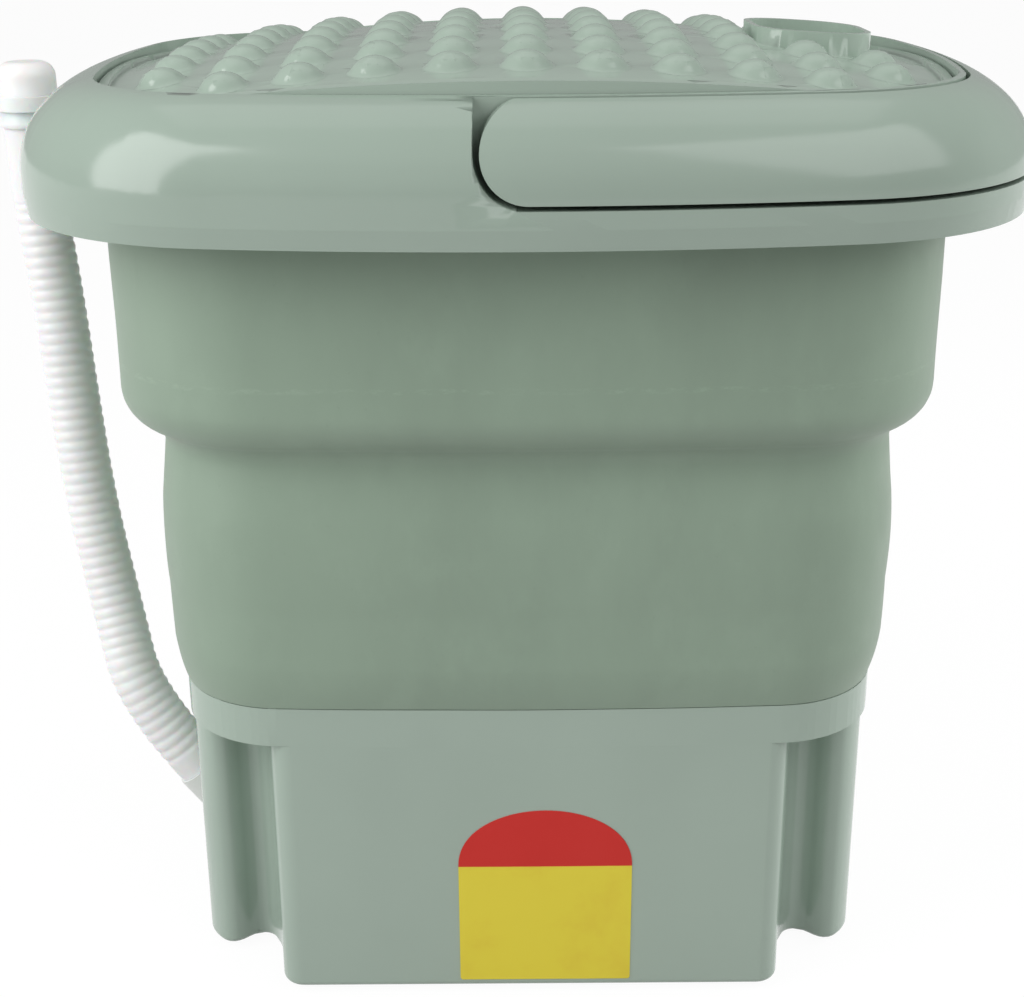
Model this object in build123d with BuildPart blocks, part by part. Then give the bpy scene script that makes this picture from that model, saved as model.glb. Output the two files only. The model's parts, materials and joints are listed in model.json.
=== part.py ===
from build123d import *
import os
from math import cos, radians, sin, sqrt, tan

os.makedirs("parts", exist_ok=True)

# Foldable tub washing machine. Millimetres, +Z up, +X to the right of the label side, which is -Y.
# The origin is on the floor under the middle of the base.

# Outlines seen from above
collar_half_x = 138.5
collar_half_y = 108.0
collar_corner = 42.0
collar_bow = 4.5
rim_half_x = 187.5
rim_half_y = 150.0
rim_corner = 90.0
rim_bow = 20.0
front_lobe_half_x = 101.0
front_lobe_inset = 2.2
front_lobe_corner = 9.0
step_lobe_half_x = 111.5
step_lobe_half_y = 90.0
side_lobe_half_y = 77.5
side_lobe_inset = 1.7
side_lobe_corner = 18.0
valley_radius = 4.0

# Heights, from the floor up
foot_height = 3.0
base_height = 111.0
collar_height = 16.0
foot_fold_height = 40.0
lower_wall_height = 36.0
step_fold_height = 40.0
upper_wall_height = 79.5
rim_plate_thickness = 2.5
rim_above_plate = 33.0
rim_skirt_drop = 10.5

# Walls and running clearances
shell_wall = 2.6
soft_wall = 2.5
rim_wall = 3.0
seat_gap = 0.15
slide_gap = 0.3
cut_overrun = 1.0
radius_tolerance = 0.01

# Base and feet
base_edge_radius = 3.0
deck_ledge = 8.0
foot_radius = 7.5
foot_stud_radius = 2.5
foot_stud_length = 2.0
foot_chamfer = 0.6
foot_x = 116.0
foot_y = 55.0
vent_width = 3.0
vent_length = 34.0
vent_pitch = 8.0
vent_count = 7
column_x = 101.0
column_y = 64.0
column_radius = 5.5
well_bore_radius = 4.0
base_screw_radius = 1.75
base_screw_head_radius = 3.5
base_screw_head_height = 2.6
base_screw_length = 15.0
column_cap = 3.0
column_top_drop = 15.0

# Tub floor, pulsator and drive
deck_thickness = 3.0
upstand_height = 9.4
well_radius = 92.0
well_depth = 15.6
boss_radius = 14.0
boss_length = 22.0
boss_relief = 1.0
well_mouth_radius = 1.5
rib_thickness = 2.0
rib_height = 5.0
rib_count = 8
pulsator_radius = 74.0
pulsator_gap = 2.0
hub_height = 5.0
hub_slope = 8.0
pulsator_hole_ring = 58.0
pulsator_hole_count = 12
pulsator_hole_radius = 2.0
pulsator_plate = 3.0
pulsator_rim_radius = 1.2
vane_count = 4
vane_height = 9.0
vane_half_width = 8.0
vane_sweep = 7.0
vane_end_gap = 5.0
vane_taper = 20.0
vane_lean = 2.0
hub_cap_radius = 14.0
hub_cap_height = 5.0
shaft_radius = 5.0
bush_radius = 8.0
bush_length = 7.0
seal_length = 4.0
shaft_running_gap = 0.05
pulley_radius = 44.0
pulley_height = 10.0
pulley_flange = 1.6
pulley_flange_rise = 1.0
pulley_rim = 4.0
pulley_web = 3.0
pulley_clearance = 1.9
pulley_hub_radius = 10.0
pulley_hole_count = 6
pulley_hole_radius = 8.0
pulley_level = 62.0
belt_thickness = 2.0
belt_gap = 0.3
motor_x = 72.0
motor_radius = 30.0
motor_length = 50.0
motor_nose_radius = 9.0
motor_edge_radius = 3.0
motor_bore_depth = 15.0
shaft_overrun = 2.0
motor_shaft_radius = 3.0
motor_pulley_radius = 11.0
bracket_half = 42.0
bracket_corner = 6.0
bracket_thickness = 2.5
bolt_half = 36.0
motor_post_radius = 4.0
motor_screw_radius = 1.6
motor_screw_head_radius = 3.2
motor_screw_head_height = 1.6
motor_screw_length = 9.0

# Controls and inlets on the far side
panel_x = 0.0
panel_z = 66.0
panel_half_x = 46.0
panel_half_z = 24.0
panel_corner = 9.0
panel_thickness = 2.6
panel_seat_depth = 1.3
panel_plug_depth = 7.0
panel_plug_inset = 4.0
button_radius = 8.5
button_spacing = 44.0
button_proud = 2.2
button_edge_radius = 0.8
button_travel = 1.6
button_gap = 0.08
button_flange_reach = 1.3
button_flange = 1.2
button_rest_gap = 0.1
button_stem_radius = 3.0
button_stem = 2.6
lens_radius = 2.5
lens_proud = 0.3
board_gap = 0.4
board_edge_gap = 0.4
board_post_radius = 2.2
board_post_inset = 3.4
plug_wall = 1.8
board_thickness = 1.6
inlet_x = 72.0
inlet_z = 40.0
inlet_half_x = 8.5
inlet_half_z = 7.5
inlet_depth = 12.0
inlet_recess = 7.0
inlet_wall = 1.6
inlet_flange = 1.5
inlet_flange_reach = 2.5
inlet_corner = 1.5
inlet_bore_depth = 4.0
inlet_pin_radius = 1.0
inlet_bore_radius = 3.2

# Drain
drain_x = -83.0
drain_y = -14.0
pipe_radius = 8.5
pipe_bore_radius = 6.2
pipe_corner_z = 31.0
elbow_run = 46.0
pipe_bend_radius = 15.0
spigot_radius = 7.3
spigot_length = 18.0
outlet_radius = 12.0
outlet_length = 32.0
strainer_radius = 7.4
strainer_thickness = 1.4
strainer_hole_radius = 1.0
strainer_hole_count = 8
strainer_hole_ring = 4.2

# Rim, handle and lid
bullnose_radius = 31.0
rim_band = 28.0
inner_wall = 2.5
ledge_width = 7.0
ledge_thickness = 2.0
ledge_drop = 9.0
rim_edge_inset = 1.0
rim_edge_height = 7.0
clamp_height = 3.0
flange_reach = 8.0
clamp_reach = 9.0
rim_screw_radius = 1.5
rim_screw_head_radius = 3.0
rim_screw_head_height = 1.8
rim_screw_bite = 2.0
rim_screw_x = 75.0
rim_screw_y = 45.0
handle_gap = 1.6
handle_floor_gap = 1.7
handle_end_gap = 2.15
handle_wall = 3.0
handle_boss_x = 12.0
handle_rib = 2.0
handle_rib_x = 34.0
handle_rib_y = 34.0
handle_pin_bite = 12.0
pin_radius = 4.0
pin_gap = 0.08
pin_head_radius = 5.8
pin_head_height = 2.0
pin_head_gap = 0.3
pivot_boss_radius = 6.5
lid_gap = 0.8
lid_wall = 2.6
lid_lip_width = 4.0
lid_lip_height = 2.2
lid_crown = 11.3
lid_dome_radius = 800.0
bump_pitch = 26.0
bump_columns = 11
bump_rows = 8
bump_height = 4.75
bump_radius = 8.2
bump_shoulder_radius = 6.0
bump_shoulder_height = 3.1
bump_crown_radius = 3.2
bump_sides = 10
grip_x = 110.0
grip_half_x = 23.0
grip_half_y = 29.0
grip_corner = 19.0
grip_wall = 2.3
grip_rise = 5.5
grip_pocket = 8.0
grip_slope = 3.0

# Drain hose, its cap and clip
hose_top_x = -205.0
hose_top_y = 32.0
hose_top_z = 344.0
hose_last_run = 40.0
hose_start_x = -145.5
hose_start_z = 56.0
hose_first_run = 40.0
exit_angle = 52.0
hose_fillet_share = 0.45
hose_radius = 11.0
hose_bore_radius = 7.5
hose_plain_foot = 10.0
hose_plain_top = 44.0
rib_pitch = 5.0
rib_depth = 1.2
rib_valley_start = 0.2
rib_valley_end = 0.5
rib_crest_start = 0.7
bore_steps = 24
cap_wall = 1.35
hose_cap_length = 26.0
cap_overlap = 13.0
clip_height = 6.0
clip_wall = 1.5
clip_drop = 17.0
clip_opening = 70.0
clip_stem = 7.0
clip_reach = 24.0
cap_end = 4.6
cap_edge_radius = 4.0
cap_gap = 0.15
clip_gap = 0.12

# Levels that follow from the heights
base_bottom = foot_height
collar_bottom = base_bottom + base_height
collar_top = collar_bottom + collar_height
ring_bottom = collar_top + foot_fold_height
ring_top = ring_bottom + lower_wall_height
step_top = ring_top + step_fold_height
plate_bottom = step_top + upper_wall_height
plate_top = plate_bottom + rim_plate_thickness
rim_top = plate_top + rim_above_plate
rim_bottom = plate_bottom - rim_skirt_drop
ledge_top = rim_top - ledge_drop
deck_bottom = collar_bottom + shell_wall
deck_top = deck_bottom + deck_thickness
well_floor = deck_top - well_depth
boss_bottom = well_floor - shell_wall - boss_length
lid_surface = rim_top + lid_crown
handle_bottom = plate_top + handle_floor_gap
pivot_z = (handle_bottom + rim_top) / 2
handle_disc_radius = (rim_top - handle_bottom) / 2
column_top = deck_bottom - column_top_drop
clamp_bottom = plate_bottom - soft_wall - clamp_height

# Offsets outward from the collar outline for the soft wall
wall_seam = -0.4
wall_low = 3.7
wall_bulge = 3.9
wall_crown = 0.7
wall_neck = 1.3
wall_upper = 16.0
seam_round_height = 18.0
seam_swell = 0.7
step_valley = 2.5


# Closed outline of eight tangent arcs: four bowed sides and four round corners, grown outward by an amount
def plan(half_x, half_y, corner, bow, grow=0.0):
    long_radius = ((half_x - bow) ** 2 + bow**2) / (2 * bow)
    short_radius = ((half_y - bow) ** 2 + bow**2) / (2 * bow)
    long_centre = Vector(0, half_y - long_radius)
    short_centre = Vector(half_x - short_radius, 0)
    across = short_centre - long_centre
    reach = (long_radius - corner) ** 2 - (short_radius - corner) ** 2 + across.length**2
    reach = reach / (2 * across.length)
    rise = sqrt((long_radius - corner) ** 2 - reach**2)
    along = across.normalized()
    corner_centre = long_centre + along * reach + Vector(along.Y, -along.X) * rise
    to_long = (corner_centre - long_centre).normalized()
    to_short = (corner_centre - short_centre).normalized()
    long_end = long_centre + to_long * (long_radius + grow)
    short_end = short_centre + to_short * (short_radius + grow)
    middle = corner_centre + (to_long + to_short).normalized() * (corner + grow)
    with BuildSketch(mode=Mode.PRIVATE) as outline:
        with BuildLine():
            for i, j in ((1, 1), (-1, 1), (-1, -1), (1, -1)):
                ThreePointArc(
                    (i * short_end.X, j * short_end.Y),
                    (i * middle.X, j * middle.Y),
                    (i * long_end.X, j * long_end.Y),
                )
            for side in (-1, 1):
                ThreePointArc(
                    (-long_end.X, side * long_end.Y),
                    (0, side * (half_y + grow)),
                    (long_end.X, side * long_end.Y),
                )
                ThreePointArc(
                    (side * short_end.X, -short_end.Y),
                    (side * (half_x + grow), 0),
                    (side * short_end.X, short_end.Y),
                )
        make_face()
    return outline.sketch


def collar_plan(grow=0.0):
    return plan(collar_half_x, collar_half_y, collar_corner, collar_bow, grow)


def rim_plan(grow=0.0):
    return plan(rim_half_x, rim_half_y, rim_corner, rim_bow, grow)


back_y = collar_half_y - front_lobe_inset


# Stepped outline of the base, with a flat front and back and one step at each corner
def base_plan(grow=0.0):
    side_x = collar_half_x - side_lobe_inset
    with BuildSketch(mode=Mode.PRIVATE) as outline:
        with BuildLine():
            FilletPolyline(
                (0, -back_y),
                (front_lobe_half_x, -back_y),
                (front_lobe_half_x, -step_lobe_half_y),
                (step_lobe_half_x, -step_lobe_half_y),
                (step_lobe_half_x, -side_lobe_half_y),
                (side_x, -side_lobe_half_y),
                (side_x, 0),
                radius=(front_lobe_corner, valley_radius, valley_radius, valley_radius, side_lobe_corner),
            )
            mirror(about=Plane.YZ)
            mirror(about=Plane.XZ)
        make_face()
        if grow:
            offset(amount=grow)
    return outline.sketch


# Plane across an outline at its start: local x points outward and local y up
def section_plane(path):
    start = path @ 0
    outward = (path % 0).cross(Vector(0, 0, 1))
    if outward.dot(start) < 0:
        outward = -outward
    return Plane(origin=start, x_dir=outward, z_dir=outward.cross(Vector(0, 0, 1)))


# Round edges of one radius in a piece that is being built
def circles_of_radius(piece, radius):
    rounds = piece.edges().filter_by(GeomType.CIRCLE)
    return rounds.filter_by(lambda edge: abs(edge.radius - radius) < radius_tolerance)


collar_path = collar_plan().face().outer_wire()
rim_path = rim_plan().face().outer_wire()


# Base: stepped shell with a closed floor, and the collar that grips the soft wall
upstand_offset = shell_wall + soft_wall + 2 * seat_gap
bracket_bottom = pulley_level - pulley_clearance - bracket_thickness
bracket_top = bracket_bottom + bracket_thickness
motor_bottom = bracket_bottom - motor_length
panel_plane = Plane(origin=(panel_x, back_y, panel_z), x_dir=(-1, 0, 0), z_dir=(0, 1, 0))
inlet_plane = Plane(origin=(inlet_x, back_y, inlet_z), x_dir=(-1, 0, 0), z_dir=(0, 1, 0))
exit_direction = Vector(-cos(radians(exit_angle)), 0, sin(radians(exit_angle)))
hose_start = Vector(hose_start_x, drain_y, hose_start_z)
outlet_plane = Plane(origin=hose_start, x_dir=(0, 1, 0), z_dir=exit_direction)
motor_bolts = [(motor_x + i * bolt_half, j * bolt_half) for i in (-1, 1) for j in (-1, 1)]
column_points = [(i * column_x, j * column_y) for i in (-1, 1) for j in (-1, 1)]
foot_points = [(i * foot_x, j * foot_y) for i in (-1, 1) for j in (-1, 1)]
plug_half_x = panel_half_x - panel_plug_inset
plug_half_z = panel_half_z - panel_plug_inset
plug_corner = panel_corner - panel_plug_inset

with BuildSketch() as collar_opening:
    add(base_plan(-shell_wall))
    add(collar_plan(-deck_ledge), mode=Mode.INTERSECT)

with BuildPart() as base_housing:
    with BuildSketch(Plane.XY.offset(base_bottom)):
        add(base_plan())
    extrude(amount=base_height)
    fillet(base_housing.faces().sort_by(Axis.Z)[0].edges(), base_edge_radius)
    with BuildSketch(Plane.XY.offset(base_bottom + shell_wall)):
        add(base_plan(-shell_wall))
    extrude(amount=base_height, mode=Mode.SUBTRACT)
    with BuildSketch(Plane.XY.offset(collar_bottom)):
        add(collar_plan())
        add(collar_opening.sketch, mode=Mode.SUBTRACT)
    extrude(amount=shell_wall)
    with BuildSketch(Plane.XY.offset(collar_bottom)):
        add(collar_plan())
        add(collar_plan(-shell_wall), mode=Mode.SUBTRACT)
    extrude(amount=collar_height)
    # Columns with the deep wells of the base screws
    with BuildSketch(Plane.XY.offset(base_bottom)):
        with Locations(*column_points):
            Circle(column_radius)
    extrude(amount=column_top - base_bottom)
    with BuildSketch(Plane.XY.offset(base_bottom)):
        with Locations(*column_points):
            Circle(well_bore_radius)
    extrude(amount=column_top - column_cap - base_bottom, mode=Mode.SUBTRACT)
    with BuildSketch(Plane.XY.offset(column_top)):
        with Locations(*column_points):
            Circle(base_screw_radius + seat_gap)
    extrude(amount=-2 * column_cap, mode=Mode.SUBTRACT)
    # Posts for the motor bracket
    with BuildSketch(Plane.XY.offset(base_bottom + shell_wall)):
        with Locations(*motor_bolts):
            Circle(motor_post_radius)
    extrude(amount=bracket_bottom - base_bottom - shell_wall)
    with BuildSketch(Plane.XY.offset(bracket_top)):
        with Locations(*motor_bolts):
            Circle(motor_screw_radius)
    extrude(amount=-motor_screw_length, mode=Mode.SUBTRACT)
    # Blind holes for the feet and slots under the motor
    with BuildSketch(Plane.XY.offset(base_bottom)):
        with Locations(*foot_points):
            Circle(foot_stud_radius)
    extrude(amount=foot_stud_length, mode=Mode.SUBTRACT)
    with BuildSketch(Plane(origin=(motor_x, 0, base_bottom))):
        with GridLocations(vent_pitch, vent_length, vent_count, 1):
            SlotOverall(vent_length, vent_width, rotation=90)
    extrude(amount=shell_wall, mode=Mode.SUBTRACT)
    # Seats of the control panel and the power inlet
    with BuildSketch(panel_plane):
        RectangleRounded(
            2 * (panel_half_x + seat_gap), 2 * (panel_half_z + seat_gap), panel_corner + seat_gap
        )
    extrude(amount=-panel_seat_depth, mode=Mode.SUBTRACT)
    with BuildSketch(panel_plane):
        RectangleRounded(2 * (plug_half_x + seat_gap), 2 * (plug_half_z + seat_gap), plug_corner + seat_gap)
    extrude(amount=-shell_wall, mode=Mode.SUBTRACT)
    with BuildSketch(inlet_plane):
        Rectangle(2 * inlet_half_x, 2 * inlet_half_z)
    extrude(amount=-shell_wall, mode=Mode.SUBTRACT)
    # Hole that the drain outlet fills
    with BuildSketch(outlet_plane):
        Circle(outlet_radius)
    extrude(amount=-outlet_length, mode=Mode.SUBTRACT)

with BuildPart() as rubber_feet:
    with BuildSketch():
        with Locations(*foot_points):
            Circle(foot_radius)
    extrude(amount=foot_height)
    chamfer(rubber_feet.faces().group_by(Axis.Z)[0].edges(), foot_chamfer)
    with BuildSketch(Plane.XY.offset(foot_height)):
        with Locations(*foot_points):
            Circle(foot_stud_radius)
    extrude(amount=foot_stud_length)

with BuildPart() as base_screws:
    with BuildSketch(Plane.XY.offset(column_top - column_cap)):
        with Locations(*column_points):
            Circle(base_screw_head_radius)
    extrude(amount=-base_screw_head_height)
    with BuildSketch(Plane.XY.offset(column_top - column_cap)):
        with Locations(*column_points):
            Circle(base_screw_radius)
    extrude(amount=base_screw_length)

# Tub floor: deck with a round well, an upstand inside the soft wall and a bearing boss below
rib_middle = (well_radius + boss_radius) / 2
with BuildPart() as tub_floor:
    with BuildSketch(Plane.XY.offset(deck_bottom)):
        add(collar_plan(-upstand_offset))
    extrude(amount=deck_thickness)
    with BuildSketch(Plane.XY.offset(deck_top)):
        add(collar_plan(-upstand_offset))
        add(collar_plan(-upstand_offset - shell_wall), mode=Mode.SUBTRACT)
    extrude(amount=upstand_height)
    with BuildSketch(Plane.XY.offset(well_floor - shell_wall)):
        Circle(well_radius + shell_wall)
    extrude(amount=deck_bottom - well_floor + shell_wall)
    with BuildSketch(Plane.XY.offset(well_floor)):
        Circle(well_radius)
    extrude(amount=well_depth, mode=Mode.SUBTRACT)
    mouth = circles_of_radius(tub_floor, well_radius)
    fillet(mouth.sort_by(Axis.Z)[-1], well_mouth_radius)
    with BuildSketch(Plane.XY.offset(boss_bottom)):
        Circle(boss_radius)
    extrude(amount=boss_length)
    with BuildSketch(Plane.XY.offset(well_floor - shell_wall)):
        with PolarLocations(rib_middle, rib_count):
            Rectangle(well_radius - boss_radius + 2 * shell_wall, rib_thickness)
    extrude(amount=-rib_height)
    # Bearing bores, with the seal above the upper bush
    with BuildSketch(Plane.XY.offset(boss_bottom)):
        Circle(bush_radius)
    extrude(amount=bush_length, mode=Mode.SUBTRACT)
    with BuildSketch(Plane.XY.offset(well_floor)):
        Circle(bush_radius)
    extrude(amount=-seal_length - bush_length, mode=Mode.SUBTRACT)
    with BuildSketch(Plane.XY.offset(boss_bottom)):
        Circle(shaft_radius + boss_relief)
    extrude(amount=boss_length, mode=Mode.SUBTRACT)
    # Drain hole with the strainer's seat
    with BuildSketch(Plane((drain_x, drain_y, well_floor))):
        Circle(pipe_bore_radius)
    extrude(amount=-shell_wall, mode=Mode.SUBTRACT)
    with BuildSketch(Plane((drain_x, drain_y, well_floor))):
        Circle(strainer_radius)
    extrude(amount=-strainer_thickness, mode=Mode.SUBTRACT)
    # Bosses over the columns of the base
    with BuildSketch(Plane.XY.offset(column_top)):
        with Locations(*column_points):
            Circle(column_radius)
            Circle(base_screw_radius, mode=Mode.SUBTRACT)
    extrude(amount=deck_bottom - column_top)

with BuildPart() as drain_strainer:
    with BuildSketch(Plane((drain_x, drain_y, well_floor))):
        Circle(strainer_radius)
        Circle(strainer_hole_radius, mode=Mode.SUBTRACT)
        with PolarLocations(strainer_hole_ring, strainer_hole_count):
            Circle(strainer_hole_radius, mode=Mode.SUBTRACT)
    extrude(amount=-strainer_thickness)

# Pulsator with swept vanes on a hub that the cap closes
pulsator_bottom = well_floor + pulsator_gap
disc_top = pulsator_bottom + pulsator_plate
hub_top = disc_top + hub_height
hub_radius = hub_cap_radius + pulsator_gap
vane_end = pulsator_radius - vane_end_gap
vane_middle = (hub_cap_radius + vane_end) / 2
with BuildSketch() as vane:
    with BuildLine():
        ThreePointArc(
            (hub_cap_radius, -vane_half_width),
            (vane_middle, -vane_half_width - vane_sweep / 2),
            (vane_end, -vane_half_width / 2),
        )
        Line((vane_end, -vane_half_width / 2), (vane_end - vane_lean, vane_half_width))
        ThreePointArc(
            (vane_end - vane_lean, vane_half_width),
            (vane_middle, vane_half_width - vane_sweep),
            (hub_cap_radius, vane_half_width),
        )
        Line((hub_cap_radius, vane_half_width), (hub_cap_radius, -vane_half_width))
    make_face()

with BuildPart() as pulsator:
    with BuildSketch(Plane.XZ):
        with BuildLine():
            Polyline(
                (shaft_radius, pulsator_bottom),
                (pulsator_radius, pulsator_bottom),
                (pulsator_radius, disc_top),
                (hub_radius + hub_slope, disc_top),
                (hub_radius, hub_top),
                (shaft_radius, hub_top),
                close=True,
            )
        make_face()
    revolve(axis=Axis.Z)
    fillet(circles_of_radius(pulsator, pulsator_radius), pulsator_rim_radius)
    with BuildSketch(Plane.XY.offset(disc_top - pulsator_plate / 2)):
        with PolarLocations(0, vane_count):
            add(vane.sketch)
    extrude(amount=vane_height, taper=vane_taper)
    with BuildSketch(Plane.XY.offset(pulsator_bottom)):
        with PolarLocations(pulsator_hole_ring, pulsator_hole_count, start_angle=180 / pulsator_hole_count):
            Circle(pulsator_hole_radius)
    extrude(amount=pulsator_plate, mode=Mode.SUBTRACT)

cap_sphere = (hub_cap_radius**2 + hub_cap_height**2) / (2 * hub_cap_height)
with BuildPart() as pulsator_cap:
    with BuildSketch(Plane.XZ):
        with BuildLine():
            Polyline((0, hub_top + hub_cap_height), (0, hub_top), (hub_cap_radius, hub_top))
            RadiusArc((hub_cap_radius, hub_top), (0, hub_top + hub_cap_height), -cap_sphere)
        make_face()
    revolve(axis=Axis.Z)

with BuildPart() as pulsator_shaft:
    with BuildSketch(Plane.XY.offset(pulley_level)):
        Circle(shaft_radius)
    extrude(amount=hub_top - pulley_level)

with BuildPart() as shaft_bushes:
    with BuildSketch(Plane.XY.offset(boss_bottom), Plane.XY.offset(well_floor - seal_length - bush_length)):
        Circle(bush_radius)
        Circle(shaft_radius + shaft_running_gap, mode=Mode.SUBTRACT)
    extrude(amount=bush_length)

with BuildPart() as shaft_seal:
    with BuildSketch(Plane.XY.offset(well_floor - seal_length)):
        Circle(bush_radius)
        Circle(shaft_radius + shaft_running_gap, mode=Mode.SUBTRACT)
    extrude(amount=seal_length)


# Half section of a belt pulley from its axis side out, with a web where the rim is wide enough
def pulley_section(bore, groove, hub, rim):
    low = pulley_level
    high = pulley_level + pulley_height
    flange = groove + pulley_flange_rise
    web_low = low + (pulley_height - pulley_web) / 2
    web_high = web_low + pulley_web
    return [
        (bore, low),
        (hub, low),
        (hub, web_low),
        (rim, web_low),
        (rim, low),
        (flange, low),
        (flange, low + pulley_flange),
        (groove, low + pulley_flange),
        (groove, high - pulley_flange),
        (flange, high - pulley_flange),
        (flange, high),
        (rim, high),
        (rim, web_high),
        (hub, web_high),
        (hub, high),
        (bore, high),
    ]


with BuildPart() as driven_pulley:
    with BuildSketch(Plane.XZ):
        with BuildLine():
            Polyline(
                *pulley_section(shaft_radius, pulley_radius, pulley_hub_radius, pulley_radius - pulley_rim),
                close=True,
            )
        make_face()
    revolve(axis=Axis.Z)
    with BuildSketch(Plane.XY.offset(pulley_level)):
        with PolarLocations((pulley_hub_radius + pulley_radius - pulley_rim) / 2, pulley_hole_count):
            Circle(pulley_hole_radius)
    extrude(amount=pulley_height, mode=Mode.SUBTRACT)

# Motor under its bracket, beside the driven pulley
with BuildPart() as motor_can:
    with BuildSketch(Plane((motor_x, 0, motor_bottom))):
        Circle(motor_radius)
    extrude(amount=motor_length)
    fillet(motor_can.faces().sort_by(Axis.Z)[0].edges(), motor_edge_radius)
    fillet(motor_can.faces().sort_by(Axis.Z)[-1].edges(), motor_edge_radius)
    with BuildSketch(Plane((motor_x, 0, bracket_bottom))):
        Circle(motor_nose_radius)
    extrude(amount=bracket_thickness)
    with BuildSketch(Plane((motor_x, 0, bracket_top))):
        Circle(motor_shaft_radius + shaft_running_gap)
    extrude(amount=-motor_bore_depth, mode=Mode.SUBTRACT)

with BuildPart() as motor_bracket:
    with BuildSketch(Plane((motor_x, 0, bracket_bottom))):
        RectangleRounded(2 * bracket_half, 2 * bracket_half, bracket_corner)
        Circle(motor_nose_radius, mode=Mode.SUBTRACT)
    extrude(amount=bracket_thickness)
    with BuildSketch(Plane.XY.offset(bracket_bottom)):
        with Locations(*motor_bolts):
            Circle(motor_screw_radius)
    extrude(amount=bracket_thickness, mode=Mode.SUBTRACT)

with BuildPart() as motor_screws:
    with BuildSketch(Plane.XY.offset(bracket_top)):
        with Locations(*motor_bolts):
            Circle(motor_screw_head_radius)
    extrude(amount=motor_screw_head_height)
    with BuildSketch(Plane.XY.offset(bracket_top)):
        with Locations(*motor_bolts):
            Circle(motor_screw_radius)
    extrude(amount=-motor_screw_length)

with BuildPart() as motor_shaft:
    with BuildSketch(Plane((motor_x, 0, bracket_top - motor_bore_depth + slide_gap))):
        Circle(motor_shaft_radius)
    extrude(amount=motor_bore_depth - slide_gap + pulley_clearance + pulley_height + shaft_overrun)

with BuildPart() as motor_pulley:
    with BuildSketch(Plane(origin=(motor_x, 0, 0), x_dir=(1, 0, 0), z_dir=(0, -1, 0))):
        with BuildLine():
            Polyline(
                (motor_shaft_radius, pulley_level),
                (motor_pulley_radius + pulley_flange_rise, pulley_level),
                (motor_pulley_radius + pulley_flange_rise, pulley_level + pulley_flange),
                (motor_pulley_radius, pulley_level + pulley_flange),
                (motor_pulley_radius, pulley_level + pulley_height - pulley_flange),
                (motor_pulley_radius + pulley_flange_rise, pulley_level + pulley_height - pulley_flange),
                (motor_pulley_radius + pulley_flange_rise, pulley_level + pulley_height),
                (motor_shaft_radius, pulley_level + pulley_height),
                close=True,
            )
        make_face()
    revolve(axis=Axis((motor_x, 0, 0), (0, 0, 1)))

with BuildSketch() as belt_inside:
    Circle(pulley_radius + belt_gap)
    with Locations((motor_x, 0)):
        Circle(motor_pulley_radius + belt_gap)
    make_hull()

with BuildPart() as drive_belt:
    with BuildSketch(Plane.XY.offset(pulley_level + pulley_flange + belt_gap)):
        Circle(pulley_radius + belt_gap + belt_thickness)
        with Locations((motor_x, 0)):
            Circle(motor_pulley_radius + belt_gap + belt_thickness)
        make_hull()
        add(belt_inside.sketch, mode=Mode.SUBTRACT)
    extrude(amount=pulley_height - 2 * pulley_flange - 2 * belt_gap)

# Control panel with two round buttons, an indicator and the board behind
panel_front = panel_thickness - panel_seat_depth
button_back = -panel_seat_depth - button_rest_gap
board_front = button_back - button_flange - button_stem - button_travel - board_gap
board_half_x = plug_half_x - plug_wall - board_edge_gap
board_half_z = plug_half_z - plug_wall - board_edge_gap
button_points = [(i * button_spacing / 2, 0) for i in (-1, 1)]
post_x = board_half_x - board_post_inset
post_z = board_half_z - board_post_inset
post_points = [(i * post_x, j * post_z) for i in (-1, 1) for j in (-1, 1)]

with BuildPart() as control_panel:
    with BuildSketch(panel_plane.offset(-panel_seat_depth)):
        RectangleRounded(2 * panel_half_x, 2 * panel_half_z, panel_corner)
    extrude(amount=panel_thickness)
    fillet(control_panel.faces().sort_by(Axis.Y)[-1].edges(), button_edge_radius)
    with BuildSketch(panel_plane.offset(-panel_seat_depth)):
        RectangleRounded(2 * plug_half_x, 2 * plug_half_z, plug_corner)
        RectangleRounded(
            2 * (plug_half_x - plug_wall),
            2 * (plug_half_z - plug_wall),
            plug_corner - plug_wall,
            mode=Mode.SUBTRACT,
        )
    extrude(amount=-panel_plug_depth)
    with BuildSketch(panel_plane.offset(-panel_seat_depth)):
        with Locations(*post_points):
            Circle(board_post_radius)
    extrude(amount=board_front + panel_seat_depth)
    with BuildSketch(panel_plane.offset(panel_front)):
        with Locations(*button_points):
            Circle(button_radius + button_gap)
        Circle(lens_radius)
    extrude(amount=-panel_thickness, mode=Mode.SUBTRACT)


# Round push button held behind the panel by its flange
def push_button(centre):
    with BuildPart() as button:
        with BuildSketch(panel_plane.offset(button_back)):
            with Locations(centre):
                Circle(button_radius)
        extrude(amount=panel_front + button_proud - button_back)
        fillet(button.faces().sort_by(Axis.Y)[-1].edges(), button_edge_radius)
        with BuildSketch(panel_plane.offset(button_back)):
            with Locations(centre):
                Circle(button_radius + button_flange_reach)
        extrude(amount=-button_flange)
        with BuildSketch(panel_plane.offset(button_back - button_flange)):
            with Locations(centre):
                Circle(button_stem_radius)
        extrude(amount=-button_stem)
    return button


power_button = push_button(button_points[0])
mode_button = push_button(button_points[1])

with BuildPart() as indicator_lens:
    with BuildSketch(panel_plane.offset(-panel_seat_depth)):
        Circle(lens_radius)
    extrude(amount=panel_thickness + lens_proud)

with BuildPart() as control_board:
    with BuildSketch(panel_plane.offset(board_front)):
        RectangleRounded(2 * board_half_x, 2 * board_half_z, plug_corner - plug_wall)
    extrude(amount=-board_thickness)

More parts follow.
